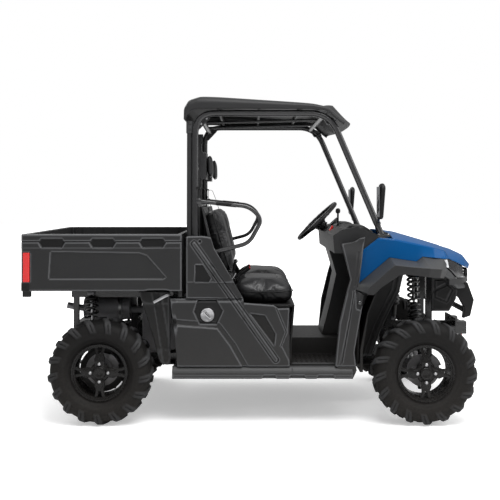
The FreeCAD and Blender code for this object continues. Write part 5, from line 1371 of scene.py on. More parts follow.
def drawn_in(section, middle, centre_y, half_y, power, least, count):
    """A side section carried across the vehicle and drawn in towards both ends by a rounded
    power curve, down to the least part of its size about its middle."""
    t = np.sin(np.linspace(-np.pi / 2, np.pi / 2, count))
    scale = (1 - np.abs(t) ** power) ** (1 / power) * (1 - least) + least
    rings = (section - middle)[None] * scale[:, None, None] + middle
    rings[..., 1] = (centre_y + half_y * t)[:, None]
    return rings


def mirror_piece_head():
    """A door mirror: its side outline drawn in towards both ends by a rounded power curve, a
    glass face behind it and a jointed arm to the pillar."""
    outline = rounded_path([(0.6925, 0, 1.300), (0.692, 0, 1.208), (0.715, 0, 1.208),
                            (0.730, 0, 1.400), (0.717, 0, 1.418), (0.702, 0, 1.410),
                            (0.6925, 0, 1.300)], 0.012, 6)[:-1]
    rings = drawn_in(outline, np.array([0.7105, 0, 1.312]), -0.7525, 0.0620, 5, 0.03, 30)
    head = solid("mirror_head_right", rings, "black", smooth=35)
    arm = pipe("mirror_arm_right", rounded_path([(0.710, -0.583, 1.180), (0.708, -0.640, 1.186),
                                                 (0.706, -0.700, 1.226)], 0.03), 0.008, "frame",
               side=(1, 0, 0))
    clamp = turned("mirror_clamp_right", (0.710, -0.600, 1.180), [(-0.012, 0.016), (-0.010, 0.018),
                                                                (0.016, 0.018), (0.018, 0.015)],
                   "frame", sides=24)
    glass = plate_piece("mirror_glass_right", mm((-806, 1222), (-699, 1222), (-699, 1396),
                                                (-806, 1396)), (0.6905, 0.6935), "glass",
                        plane="front", edge=0.0008)
    return merge("door_mirror_right", [head, arm, clamp, glass])


WHEEL_AT = np.array([0.419, 0.330, 1.171])
WHEEL_AXIS = np.array([-0.694658, 0.0, 0.71934])
WHEEL_RADIUS = 0.1715
QUARTER_TURN = 1.5708
HALF_TURN = 3.14159
GRIP_WAVE = 0.0006


def tilted(points):
    """Points given as (across, up the wheel, towards the driver), put on the steering axis."""
    across = np.array([0.0, 1.0, 0.0])
    up = np.cross(WHEEL_AXIS, across)
    return WHEEL_AT + points[..., 0:1] * across - points[..., 1:2] * up + \
        points[..., 2:3] * WHEEL_AXIS


def ring_tube(name, tube, material, body, start=0.0, end=2 * np.pi, grip=0.0):
    """A round tube bent in the steering wheel's ring; grip swells it in shallow waves."""
    whole = end - start > 6.28
    turn = np.linspace(start, end, 97, endpoint=not whole)[:, None]
    around = np.linspace(0, 2 * np.pi, 20, endpoint=False)[None]
    thick = tube + grip * np.cos(turn * 24) * (np.cos(around) < 0.2)
    reach = WHEEL_RADIUS + thick * np.cos(around)
    points = np.stack([reach * np.sin(turn), reach * np.cos(turn), thick * np.sin(around)], -1)
    return skin(name, tilted(points), material, body, close_rows=whole, close_cols=True,
                caps=not whole, smooth=50)


def steering_wheel_piece():
    """The steering wheel: a padded ring, three spokes that dip to the hub, and a plain pad."""
    body = "steering_wheel"
    parts = [ring_tube("wheel_ring", 0.0140, "black", body),
             ring_tube("wheel_grip_right", 0.0152, "vinyl", body, 1.05, 2.09, GRIP_WAVE),
             ring_tube("wheel_grip_left", 0.0152, "vinyl", body, 4.19, 5.23, GRIP_WAVE)]
    line = np.array([(0.03, -0.030), (0.08, -0.022), (0.13, -0.008), (0.172, 0.0)])
    for number, turn in enumerate((QUARTER_TURN, -QUARTER_TURN, HALF_TURN)):
        path = np.stack([line[:, 0] * math.sin(turn), line[:, 0] * math.cos(turn), line[:, 1]], -1)
        spoke = carried(tilted(rounded_path(path, 0.03, 5)), slab(0.034, 0.008, 0.003),
                        side=np.cross(WHEEL_AXIS, tilted(path)[-1] - tilted(path)[0]))
        parts.append(solid("wheel_spoke_%d" % number, spoke, "black", body))
    turn = np.linspace(0, 2 * np.pi, 64, endpoint=False)
    rings = [np.stack([reach * np.sin(turn), reach * np.cos(turn), np.full_like(turn, depth)], -1)
             for reach, depth in ((0.038, -0.052), (0.044, -0.034), (0.058, -0.022),
                                  (0.060, -0.006), (0.054, 0.000), (0.030, 0.003),
                                  (0.004, 0.003))]
    parts.append(solid("wheel_pad", tilted(np.array(rings)), "charcoal", body, smooth=30))
    wheel = merge("steering_wheel_ring", parts, body)
    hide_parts("steering_wheel")


roof_shell()
frames = [cage_side(-1), cage_side(1), cage_fittings(-1), cage_fittings(1), cage_cross()]
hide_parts("roll_cage")
for side in (-1, 1):
    loop = hip_loop(side)
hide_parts("hip_bars")
mirrors = both_sides(mirror_piece_head())
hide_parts("door_mirrors")
steering_wheel_piece()


# Seats

def pad_shape(name, half, place, lean=0.0, squareness=0.34, dent=None):
    """A pad before it is filled: a superellipsoid, each cosine and sine of its two angles
    raised to a power, bent by dent(x, y, z), leant back and moved to its place."""
    one = np.linspace(-np.pi / 2, np.pi / 2, 40)[:, None]
    two = np.linspace(-np.pi, np.pi, 80, endpoint=False)[None]

    def power(value):
        return np.sign(value) * np.abs(value) ** squareness

    x = half[0] * power(np.cos(one)) * power(np.cos(two))
    y = half[1] * power(np.cos(one)) * power(np.sin(two))
    z = half[2] * power(np.sin(one)) * np.ones_like(two)
    if dent:
        x, y, z = dent(x, y, z)
    c, s = math.cos(lean), math.sin(lean)
    points = np.stack([x * c + z * s + place[0], y + place[1], -x * s + z * c + place[2]], -1)
    return solid(name, points, "vinyl")


def rounder(pad):
    """Subdivides a pad once."""
    soft = pad.modifiers.new("round", "SUBSURF")
    soft.levels = soft.render_levels = 1


def filled(pad, pressure, cap, voxel=0.006):
    """Pads a piece: remeshed, blown up a little by a cloth simulation with no gravity, each point
    kept within a cap of where it was, then subdivided once."""
    remesh = pad.modifiers.new("even", "REMESH")
    remesh.mode = "VOXEL"
    remesh.voxel_size = voxel
    apply_all(pad)
    before = gathered(pad.data.vertices, "co")
    cloth = pad.modifiers.new("fill", "CLOTH")
    cloth.settings.use_pressure = True
    cloth.settings.uniform_pressure_force = pressure
    cloth.settings.effector_weights.gravity = 0
    cloth.settings.quality = 5
    cloth.point_cache.frame_start = 1
    cloth.point_cache.frame_end = CLOTH_FRAMES
    for number in range(1, CLOTH_FRAMES + 1):
        scene.frame_set(number)
    apply_all(pad)
    scene.frame_set(1)
    moved = gathered(pad.data.vertices, "co") - before
    far = np.linalg.norm(moved, axis=1, keepdims=True)
    moved *= np.minimum(1.0, cap / np.maximum(far, 1e-9))
    pad.data.vertices.foreach_set("co", (before + moved).ravel())
    rounder(pad)
    apply_all(pad)


def apply_all(piece):
    """Applies a piece's modifiers to its mesh."""
    graph = bpy.context.evaluated_depsgraph_get()
    mesh = bpy.data.meshes.new_from_object(piece.evaluated_get(graph))
    piece.modifiers.clear()
    old = piece.data
    piece.data = mesh
    mesh.name = old.name
    bpy.data.meshes.remove(old)


def sewn(pad, channel, limits):
    """Sews a pad: channel(co) is how deep each point sinks along its normal, and limits are
    the lowest and highest corner that it may fill."""
    mesh = pad.data
    co = gathered(mesh.vertices, "co")
    co -= gathered(mesh.vertices, "normal") * channel(co)[:, None]
    mesh.vertices.foreach_set("co", np.clip(co, *limits).ravel())
    mesh.update()
    mesh.shade_smooth()


def two_tone(pad, dark):
    """Gives the faces where dark(centre) holds the darker vinyl."""
    mesh = pad.data
    mesh.materials.clear()
    for material in ("vinyl", "vinyl_dark"):
        mesh.materials.append(MATERIALS[material])
    chosen = dark(gathered(mesh.polygons, "center"))
    mesh.polygons.foreach_set("material_index", chosen.astype(int))


def piping(name, pad, height):
    """A cord of piping where a pad is widest at one height: in each direction from its middle
    the furthest point of a thin slice of it, evened out over its neighbours."""
    co = gathered(pad.data.vertices, "co")
    flat = co[np.abs(co[:, 2] - height) < 0.009][:, :2]
    middle = (flat.min(0) + flat.max(0)) / 2
    out = flat - middle
    turn = np.arctan2(out[:, 1], out[:, 0])
    bins = ((turn + np.pi) / (2 * np.pi) * PIPING_STEPS).astype(int) % PIPING_STEPS
    best = np.zeros(PIPING_STEPS)
    np.maximum.at(best, bins, np.linalg.norm(out, axis=1))
    known = np.nonzero(best)[0]
    best = np.interp(np.arange(PIPING_STEPS), known, best[known], period=PIPING_STEPS)
    best = np.median([np.roll(best, shift) for shift in range(-3, 4)], axis=0)
    best = np.mean([np.roll(best, shift) for shift in range(-2, 3)], axis=0)
    angle = (np.arange(PIPING_STEPS) + 0.5) / PIPING_STEPS * 2 * np.pi - np.pi
    path = np.stack([middle[0] + best * np.cos(angle), middle[1] + best * np.sin(angle),
                     np.full_like(best, height)], -1)
    rings = carried(np.concatenate([path[-2:], path, path[:2]]), circle(0.0032, 8),
                    side=(0, 0, 1))[2:-2]
    return skin(name, rings, "vinyl_dark", close_rows=True, close_cols=True, smooth=60)


SEAT_Y = -0.340
SEAT_WAIST = 0.772
STITCH_WIDTH = 0.0042
STITCH_DEPTH = 0.0055
PIPING_STEPS = 120
CLOTH_FRAMES = 20


def stitch(away):
    """1 on a sewn line and 0 away from it."""
    return bell(away, 0, STITCH_WIDTH)


def cushion():
    """A seat cushion, crowned on top, with a rounded front that drops to its lower edge, two
    sewn channels along it, two across it and a piped line round its waist."""
    a, b = low("seat_cushions"), high("seat_cushions")

    def nose(x, y, z):
        ahead = np.clip(x / 0.18, -1, 1)
        lift = 0.012 * np.clip(-ahead, 0, 1) - 0.022 * np.clip(ahead, 0, 1) ** 3 * (z > 0)
        return x, y * (1 - 0.05 * (z / 0.055) ** 2), z + lift
    pad = pad_shape("seat_cushion_right", (0.180, 0.268, 0.058), (0.0375, SEAT_Y, 0.7655),
                    squareness=0.36, dent=nose)
    filled(pad, 4.0, 0.024)

    def channel(co):
        top = step(co[:, 2], 0.800, 0.02)
        across = np.abs(co[:, 1] - SEAT_Y)
        lines = stitch(across - 0.150) * band(co[:, 0], -0.13, 0.175, 0.02)
        lines += stitch(co[:, 0] - 0.125 + across * 0.10) * (across < 0.152)
        lines += stitch(co[:, 0] + 0.055) * (across < 0.148)
        waist = bell(co[:, 2], SEAT_WAIST, 0.0040) * 0.8
        return STITCH_DEPTH * (lines * top + waist)
    sewn(pad, channel, ((a[0] - 0.004, a[1] - 0.004, a[2]), (b[0] + 0.004, -0.052, 0.849)))
    two_tone(pad, lambda c: (c[:, 2] < SEAT_WAIST) | (np.abs(c[:, 1] - SEAT_Y) > 0.262))
    return pad, piping("seat_piping_right", pad, SEAT_WAIST)


BACK_LEAN = math.radians(13.6)
HEAD_SEAM_X = -0.306


def back_rest():
    """A seat back: a leaning pad with side bolsters, three cross channels and a centre panel."""
    def bolster(x, y, z):
        wing = np.clip(np.abs(y) / 0.27, 0, 1) ** 3
        waist = 1 - 0.07 * np.clip(z / 0.21, -1, 1) ** 2 * (z > 0)
        return x + 0.014 * wing * (x > 0) - 0.006 * (x > 0), y * waist, z
    place = (-0.2340, SEAT_Y, 1.0700)
    pad = pad_shape("seat_back_right", (0.032, 0.262, 0.206), place, -BACK_LEAN, 0.36, bolster)
    filled(pad, 4.0, 0.022)
    c, s = math.cos(-BACK_LEAN), math.sin(-BACK_LEAN)

    def channel(co):
        out = co - np.array(place)
        local_x = out[:, 0] * c - out[:, 2] * s
        up = out[:, 0] * s + out[:, 2] * c
        across = np.abs(out[:, 1])
        front = step(local_x, 0.012, 0.02)
        lines = stitch(across - 0.155) * band(up, -0.19, 0.15, 0.02)
        for at in (-0.085, 0.035, 0.150):
            lines += stitch(up - at) * (across < 0.157)
        return STITCH_DEPTH * lines * front
    a, b = low("seat_backs"), high("seat_backs")
    sewn(pad, channel, ((a[0] - 0.004, a[1] - 0.004, a[2]), (b[0] + 0.010, -0.052, b[2] + 0.002)))

    def dark(centre):
        out = centre - np.array(place)
        return (np.abs(out[:, 1]) > 0.225) | (out[:, 0] * c - out[:, 2] * s < 0.004)
    two_tone(pad, dark)
    return pad


def head_pad():
    """A headrest: a small thick pad, its front face rounded towards the top."""
    def brow(x, y, z):
        return x * (1 - 0.25 * np.clip(z / 0.07, 0, 1) ** 2), y, z
    a, b = low("headrests"), high("headrests")
    pad = pad_shape("headrest_right", (0.0150, 0.094, 0.066), (-0.2985, SEAT_Y, 1.528), -0.05,
                    0.42, brow)
    filled(pad, 3.0, 0.010, 0.005)
    sewn(pad, lambda co: 0.003 * bell(co[:, 0], HEAD_SEAM_X, 0.003),
         ((-0.3178, a[1], a[2] - 0.004), (b[0] + 0.006, 1.0, b[2] + 0.004)))
    two_tone(pad, lambda c: c[:, 0] < HEAD_SEAM_X)
    return pad


def headrest_carrier():
    """The headrest's carrier: two side plates, a lattice of thin bars between them behind the
    pad, and two round stays."""
    parts = []
    x0, x1 = -0.3610, -0.3190
    back = x0 + 0.004
    for number, y in enumerate((-0.440, -0.250)):
        parts.append(plate_piece("headrest_side_%d" % number, mm(
            (-361, 1449), (-319, 1456), (-319, 1604), (-361, 1611)), (y, y + 0.005), "frame"))
    for number, z in enumerate(np.linspace(1.452, 1.608, 9)):
        parts.append(slat("headrest_slat_%d" % number, [(back, -0.440, z), (back, -0.245, z)],
                          0.0055, 0.003, "frame", side=(0, 0, 1), corner=0.001))
    for number, y in enumerate(np.linspace(-0.437, -0.248, 9)):
        parts.append(slat("headrest_bar_%d" % number, [(back, y, 1.450), (back, y, 1.610)],
                          0.0055, 0.0035, "frame", corner=0.001))
    for number, z in enumerate((1.470, 1.590)):
        parts.append(pipe("headrest_stay_%d" % number, [(x0, SEAT_Y, z), (x1, SEAT_Y, z)], 0.011,
                          "frame", sides=16))
    return merge("headrest_carrier_right", parts)


WEBBING_WIDTH = 0.046
WEBBING_THICK = 0.0016


def strap(name, path):
    """Webbing: a thin flat profile with rounded edges, carried along a smooth path."""
    rings = carried(rounded_path(path, 0.03, 6), slab(WEBBING_WIDTH, WEBBING_THICK, 0.0007))
    return solid(name, rings, "webbing", smooth=60)


def belts(y, tag):
    """A seat's belt: the shoulder run from its guide down to its anchor beside the cushion, the
    tail from the guide to the reel, and two buckles on their stalks, one with a red button."""
    out = 1 if y > 0 else -1
    outer = y + out * 0.225
    inner = y - out * 0.240
    top_end = (-0.352, outer, 1.385)
    run = strap("belt_shoulder_" + tag, [top_end, (-0.326, outer, 1.392),
                                         (-0.300, outer + 0.004 * out, 1.330),
                                         (-0.196, outer + 0.010 * out, 0.985),
                                         (-0.152, outer + 0.016 * out, 0.868)])
    down = strap("belt_tail_" + tag, [top_end, (-0.353, outer, 1.200), (-0.352, outer, 0.790)])
    guide = slat("belt_guide_" + tag, [(-0.358, outer - 0.034, 1.392),
                                       (-0.358, outer + 0.034, 1.392)], 0.020, 0.010, "black",
                 side=(1, 0, 0), corner=0.004)
    reel = turned("belt_reel_" + tag, (-0.345, outer, 0.760), [
        (-0.028, 0.018), (-0.026, 0.034), (0.026, 0.034), (0.028, 0.018)], "black", sides=32)
    anchor = slat("belt_anchor_" + tag, [(-0.160, outer + 0.018 * out, 0.845),
                                         (-0.135, outer + 0.020 * out, 0.880)], 0.030, 0.006,
                  "steel")
    parts = [run, down, guide, reel, anchor]
    for number, ahead in enumerate((-0.010, 0.055)):
        base = np.array([-0.168 + number * 0.020, inner + out * 0.010 * number, 0.800])
        top = base + np.array([0.030 + ahead, 0.0, 0.100 - ahead * 0.55])
        parts.append(slat("buckle_stalk_%s_%d" % (tag, number), [base, base + (top - base) * 0.62],
                          0.016, 0.005, "webbing"))
        along = (top - base) / np.linalg.norm(top - base)
        foot = base + (top - base) * 0.55
        case = [foot + along * far for far in (0, 0.004, 0.058, 0.062)]
        parts.append(slat("buckle_case_%s_%d" % (tag, number), case, 0.034, 0.020, "black",
                          corner=0.006))
    tip = foot + along * 0.0605
    parts.append(slat("buckle_button_" + tag, [tip, tip + along * 0.006], 0.028, 0.013, "red",
                      corner=0.003))
    return merge("seat_belt_" + tag, parts)


pad, cord = cushion()
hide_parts("seat_cushions")
other = mirror_piece(pad, "seat_cushion_left")
both_sides(cord)
pad = back_rest()
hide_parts("seat_backs")
other = mirror_piece(pad, "seat_back_left")
pad = head_pad()
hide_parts("headrests")
other = mirror_piece(pad, "headrest_left")
both_sides(headrest_carrier())
for side, tag in SIDE_NAME.items():
    belts(-side * SEAT_Y, tag)


# Running gear, cab fittings and small pieces

COIL_TURNS = 8
COIL_RADIUS = 0.0345
COIL_WIRE = 0.0076


def spring_unit(name, foot, head):
    """A coil over a damper: a helix of round wire between two seats on the line from foot to
    head, round a tapering damper body and its bright rod, with an eye at each end."""
    foot, head = np.array(foot), np.array(head)
    span = np.linalg.norm(head - foot)
    line = (head - foot) / span
    side = np.cross(line, (1.0, 0.0, 0.0))
    side /= np.linalg.norm(side)
    other = np.cross(line, side)
    start, end = 0.28 * span + 0.006, span - 0.044
    t = np.linspace(0, 1, 300)[:, None]
    eased = t - 0.035 * np.sin(2 * np.pi * t)
    turn = 2 * np.pi * COIL_TURNS * t
    path = foot + line * (start + (end - start) * eased) + \
        COIL_RADIUS * (side * np.cos(turn) + other * np.sin(turn))
    rings = carried(path, circle(COIL_WIRE, 10), side=line)
    parts = [solid(name + "_coil", rings, "frame", smooth=60)]
    for label, stations, material in (
            ("body", [(0.016, 0.014), (0.024, 0.023), (0.26 * span, 0.024), (0.27 * span, 0.041),
                      (0.28 * span, 0.042), (0.284 * span, 0.030), (0.50 * span, 0.024),
                      (0.51 * span, 0.016)], "black"),
            ("rod", [(0.49 * span, 0.0085), (span - 0.036, 0.0085)], "steel"),
            ("seat", [(span - 0.046, 0.030), (span - 0.038, 0.041), (span - 0.030, 0.042),
                      (span - 0.026, 0.024), (span - 0.012, 0.013)], "black")):
        far = np.array(stations)
        around = np.linspace(0, 2 * np.pi, 32, endpoint=False)
        flat = side * np.cos(around)[:, None] + other * np.sin(around)[:, None]
        points = foot + line * far[:, 0][:, None, None] + flat[None] * far[:, 1][:, None, None]
        parts.append(solid("%s_%s" % (name, label), points, material))
    for label, at in (("foot", foot), ("head", head)):
        parts.append(turned("%s_%s_eye" % (name, label), at, [
            (-0.020, 0.011), (-0.019, 0.0165), (-0.012, 0.017), (0.012, 0.017), (0.019, 0.0165),
            (0.020, 0.011)], "cast", sides=32, axis="x"))
    return merge(name, parts)


def springs():
    """The four spring units, each pair standing in for its CAD node."""
    for end, foot, head in (("front", (0.967, -0.440, 0.480), (0.967, -0.330, 0.883)),
                            ("rear", (-1.000, -0.400, 0.260), (-1.040, -0.3633, 0.738))):
        unit = spring_unit("%s_spring_right" % end, foot, head)
        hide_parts("%s_shocks" % end)
        both_sides(unit)


def tread_plate(name, x0, x1, y0, y1, z, pitch=0.030):
    """Raised bars on a floor: crossed pairs of small lozenges on a square pitch, each a low
    pyramid with a flat top."""
    xs = np.arange(x0 + pitch / 2, x1, pitch)
    ys = np.arange(y0 + pitch / 2, y1, pitch)
    gx, gy = np.meshgrid(xs, ys, indexing="ij")
    turn = np.where((np.add.outer(np.arange(len(xs)), np.arange(len(ys)))) % 2, 0.7854, -0.7854)
    base = np.array([(-1, 0), (0, -0.30), (1, 0), (0, 0.30)]) * 0.0115
    top = base * 0.72
    corners = np.concatenate([np.c_[base, np.zeros(4)], np.c_[top, np.full(4, 0.0024)]])
    c, s = np.cos(turn)[..., None], np.sin(turn)[..., None]
    px = gx[..., None] + corners[:, 0] * c - corners[:, 1] * s
    py = gy[..., None] + corners[:, 0] * s + corners[:, 1] * c
    pz = z - 0.0002 + np.broadcast_to(corners[:, 2], px.shape)
    points = np.stack([px, py, pz], -1).reshape(-1, 3)
    count = gx.size
    faces = np.array([(3, 2, 1, 0), (4, 5, 6, 7), (0, 1, 5, 4), (1, 2, 6, 5), (2, 3, 7, 6),
                      (3, 0, 4, 7)])
    faces = (faces[None] + 8 * np.arange(count)[:, None, None]).reshape(-1, 4)
    mesh = bpy.data.meshes.new(name)
    mesh.from_pydata(points.tolist(), [], faces.tolist())
    return shown(name, mesh, "black", "root", 20)


def floor_mats():
    """Tread on both foot wells, the rim round it and a strip along each door sill."""
    parts = []
    for side, tag in SIDE_NAME.items():
        parts.append(tread_plate("floor_tread_" + tag, 0.216, 0.470,
                                 *sorted((side * 0.292, side * 0.628)), 0.345))
        rim = rounded_path([(0.205, side * 0.634, 0.3465), (0.205, side * 0.284, 0.3465),
                            (0.480, side * 0.284, 0.3465), (0.480, side * 0.634, 0.3465)], 0.02)
        parts.append(slat("floor_rim_" + tag, rim, 0.008, 0.005, "black", side=(0, 0, 1),
                          corner=0.0015))
        sill = [(0.200, side * 0.6345, 0.350), (0.545, side * 0.6345, 0.350)]
        parts.append(slat("door_sill_" + tag, sill, 0.009, 0.011, "charcoal_light", corner=0.003))
    return merge("floor_mats", parts)


def lens_face(name, stations, material, rise):
    """A lamp lens on the corner: quads between stations of (x, y, low, high), rounded out a
    little towards the middle of its height and closed behind."""
    stations = np.array(stations) / 1000
    t = np.linspace(0, len(stations) - 1, 14)
    row = np.stack([np.interp(t, np.arange(len(stations)), stations[:, k]) for k in range(4)], -1)
    v = np.linspace(0, 1, 10)[None]
    x = row[:, :1] - 0.010 * v
    y = row[:, 1:2] + 0 * v
    z = row[:, 2:3] * (1 - v) + row[:, 3:4] * v
    bulge = rise * np.sin(np.pi * v) ** 0.5
    out = np.array([0.62, -0.78])
    front = np.stack([x + out[0] * bulge, y + out[1] * bulge, z], -1)
    back = np.stack([x - 0.014, y + 0.010, z], -1)[:, ::-1]
    return solid(name, np.concatenate([front, back], 1), material)


def headlamp_piece():
    """A headlamp: a bright cell at its rear end, a smoked lens round the corner and a light
    strip under its front edge."""
    cell = lens_face("headlamp_cell", [(1133, -504, 912, 957), (1150, -486, 909, 956),
                                       (1164, -470, 905, 955)], "white_lens", 0.002)
    smoke = lens_face("headlamp_smoke", [
        (1164, -470, 900, 957), (1190, -444, 880, 951), (1233, -395, 838, 936),
        (1293, -310, 834.5, 908)], "smoke_lens", 0.001)
    strip = slat("headlamp_strip", mm((1264, -352, 839), (1294, -309, 836)), 0.004, 0.008,
                 "white_lens", side=(0, 0, 1), corner=0.0015)
    return merge("headlamp_right", [cell, smoke, strip])


def nose_piece():
    """The pale wing under a headlamp, from the flare down to the bumper's shoulder, and the
    dark splash plate behind it."""
    wing = lens_face("nose_wing_right", [
        (1131, -506, 857, 911), (1165, -472, 836, 899), (1190, -446, 808, 879),
        (1233, -398, 772, 837), (1262, -360, 768, 820), (1300, -306, 765, 798)],
        "charcoal_light", 0.006)
    pressed = mm((1105, 820), (1165, 820), (1215, 756), (1180, 680), (1105, 710))

    def height(x, z):
        rim = band(outline_sdf(x, z, pressed), -0.004, 0.004, 0.006)
        return -0.004 * rim - 0.003 * band(z - (x - 1.1) * 0.5, 0.74, 0.76, 0.006)
    plate = relief_panel("nose_plate_right", mm(
        (1083, 845), (1176, 845), (1248, 756), (1238, 700), (1196, 624), (1083, 624)), 0.342,
        0.006, height, "black", cell=0.005)
    return merge("nose_right", [wing, plate])


FUEL_CAP = np.array([-0.300, -0.6765, 0.644])


def fuel_cap_piece():
    """The filler cap: a knurled edge, a dished face with a slot and a bar across it."""
    turn = np.linspace(0, 2 * np.pi, 144, endpoint=False)
    knurled = 1 + 0.012 * np.cos(turn * 24)
    rings = []
    for out, radius, wave in ((0.000, 0.036, knurled), (0.001, 0.0400, knurled),
                              (0.007, 0.0400, knurled), (0.0085, 0.0385, knurled),
                              (0.0085, 0.034, 1), (0.006, 0.030, 1), (0.006, 0.004, 1)):
        rings.append(np.stack([radius * wave * np.cos(turn), np.full_like(turn, -out),
                               radius * wave * np.sin(turn)], -1))
    disc = solid("fuel_cap_disc", np.array(rings) + FUEL_CAP, "steel", smooth=35)
    tilt = np.array([math.cos(-0.75), 0, math.sin(-0.75)])
    middle = FUEL_CAP + np.array([0, -0.0095, 0])
    line = [middle + tilt * far for far in (-0.029, -0.026, 0.026, 0.029)]
    handle = slat("fuel_cap_bar", line, 0.0095, 0.017, "steel", corner=0.003)
    line = [middle + tilt * far + (0, -0.0048, 0) for far in (-0.022, 0.022)]
    slot = slat("fuel_cap_slot", line, 0.0006, 0.004, "black", corner=0.0002)
    collar = turned("fuel_neck", FUEL_CAP + (0, 0.002, 0), [
        (0.004, 0.050), (-0.003, 0.050), (-0.0045, 0.048), (-0.0045, 0.0425), (0.0, 0.0415)],
        "black", sides=72)
    cap = merge("fuel_cap_whole", [disc, handle, slot, collar])
    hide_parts("fuel_cap")


def release_lever():
    """The bed's release lever: a bent flat bar under the bed's edge, with a rolled grip."""
    path = rounded_path([(-0.515, -0.640, 0.766), (-0.540, -0.664, 0.758), (-0.618, -0.668, 0.716)],
                        0.02)
    grip = slat("release_lever_bar", path, 0.006, 0.016, "steel", corner=0.0025)
    boss = turned("release_lever_boss", (-0.515, -0.636, 0.766), [(-0.012, 0.012), (-0.010, 0.014),
                                                                 (0.050, 0.014), (0.052, 0.012)],
                  "frame", sides=24)
    return merge("bed_release_lever", [grip, boss])


def wheel_well():
    """The dark liner ahead of each rear wheel, from under the bed to the rocker: an outer wall
    with a slanting groove over a sunken field, and the curved sheet behind it."""
    outline = rounded_path(mm((-708, 779), (-520, 779), (-520, 345), (-560, 345), (-588, 372),
                              (-622, 520)), 0.03, 5)

    def height(x, z):
        groove = 1 - step(np.abs((x + 0.575) - (z - 0.6) * -0.16), 0.020, 0.012)
        return -0.006 * groove - 0.004 * band(z, 0.44, 0.70, 0.02)
    wall = relief_panel("wheel_well_wall_right", outline, 0.655, 0.012, height, "black",
                        cell=0.006)
    line = rounded_path(mm((-706, 0, 776), (-622, 0, 520), (-588, 0, 372), (-560, 0, 345)), 0.06)
    line[:, 1] = -0.50
    sheet = slat("wheel_well_sheet_right", line, 0.300, 0.004, "black")
    return merge("wheel_well_right", [wall, sheet])


def front_well():
    """The dark wall inboard of a front wheel, behind the spring: a plate with two pressed
    ribs that follow its front edge, and a pressed pad."""
    edge = mm((906, 860), (880, 745), (826, 640), (768, 520), (706, 350))
    outline = np.concatenate([mm((606, 350), (606, 870), (640, 925), (850, 925)), edge])

    def height(x, z):
        away = line_sdf(x, z, edge)
        return 0.004 * band(away, 0.014, 0.028, 0.006) + 0.003 * band(away, 0.044, 0.054, 0.006)
    return relief_panel("front_well_right", outline, 0.368, 0.006, height, "black", cell=0.006,
                        upright=True)


def seat_side():
    """The dark plate under the cushion's side that closes the notch of the side panel."""
    return plate_piece("seat_side_right", mm((96, 560), (180, 560), (180, 699), (96, 699)),
                       (-0.652, -0.644), "black")


def gear_knob():
    """The gear lever: a dark rod from a pleated boot to a rounded knob."""
    boot = [(1.094, 0.052), (1.100, 0.050)]
    for number in range(5):
        boot += [(1.104 + number * 0.010, 0.044 - number * 0.0075),
                 (1.109 + number * 0.010, 0.033 - number * 0.0052)]
    rod = [(1.140, 0.0062), (1.238, 0.0062)]
    knob = [(1.230, 0.006), (1.231, 0.012), (1.240, 0.0158), (1.252, 0.0160), (1.260, 0.0125),
            (1.2638, 0.005)]
    parts = [turned("gear_" + label, (0.533, 0, 0), stations, material, sides=sides, axis="z")
             for label, stations, material, sides in (("boot", boot, "rubber", 48),
                                                      ("rod", rod, "black", 24),
                                                      ("knob", knob, "black", 40))]
    lever = merge("gear_lever_whole", parts)
    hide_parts("gear_lever")


def dash_fittings():
    """On the dash: a cowl over each side, a round dial facing the driver, a row of rockers, a
    grab bar before the passenger, and the pedals below."""
    parts = []
    section = rounded_path([(0.500, 0, 1.112), (0.524, 0, 1.150), (0.560, 0, 1.170),
                            (0.640, 0, 1.166), (0.700, 0, 1.128), (0.690, 0, 1.100),
                            (0.510, 0, 1.100), (0.500, 0, 1.112)], 0.012, 5)[:-1]
    middle = np.array([0.605, 0, 1.125])
    for side, tag in SIDE_NAME.items():
        rings = drawn_in(section, middle, side * 0.360, 0.195, 6, 0.1, 24)
        parts.append(solid("dash_cowl_" + tag, rings, "black"))
    face = WHEEL_AT + np.array([0.105, 0, -0.010])
    turn = np.linspace(0, 2 * np.pi, 48, endpoint=False)
    case = ((-0.030, 0.040), (-0.002, 0.050), (0.002, 0.050), (0.002, 0.046), (-0.003, 0.044))
    glass = ((-0.003, 0.0435), (-0.001, 0.0430), (0.0, 0.030), (0.0002, 0.004))
    for label, radii, material in (("dial_case", case, "black"),
                                   ("dial_glass", glass, "smoke_lens")):
        rings = [np.stack([r * np.cos(turn), r * np.sin(turn), np.full_like(turn, d)], -1)
                 for d, r in radii]
        parts.append(solid(label, tilted(np.array(rings)) - WHEEL_AT + face, material, smooth=30))
    for number, y in enumerate((-0.085, -0.035, 0.035, 0.085)):
        at = np.array([0.470, y, 1.120])
        parts.append(slat("rocker_switch_%d" % number, [at, at + (0.004, 0, 0.004),
                                                       at + (0.020, 0, 0.030)], 0.026, 0.012,
                          "red" if number == 0 else "black", corner=0.003))
    grab = rounded_path([(0.520, -0.500, 1.110), (0.466, -0.500, 1.106), (0.466, -0.200, 1.106),
                         (0.520, -0.200, 1.110)], 0.03)
    parts.append(pipe("grab_bar", grab, 0.011, "black", side=(0, 0, 1), sides=20))
    for number, (y, length) in enumerate(((0.270, 0.085), (0.400, 0.060))):
        top = np.array([0.600, y, 0.640])
        toe = np.array([0.535, y, 0.500])
        arm = rounded_path([top, (0.575, y, 0.560), toe], 0.03)
        parts.append(slat("pedal_arm_%d" % number, arm, 0.014, 0.008, "frame"))
        parts.append(slat("pedal_pad_%d" % number, [toe + (0.004, 0, length / 2),
                                                    toe - (0.010, 0, length / 2)], 0.062, 0.010,
                          "rubber", corner=0.004))
    return merge("dash_fittings", parts)


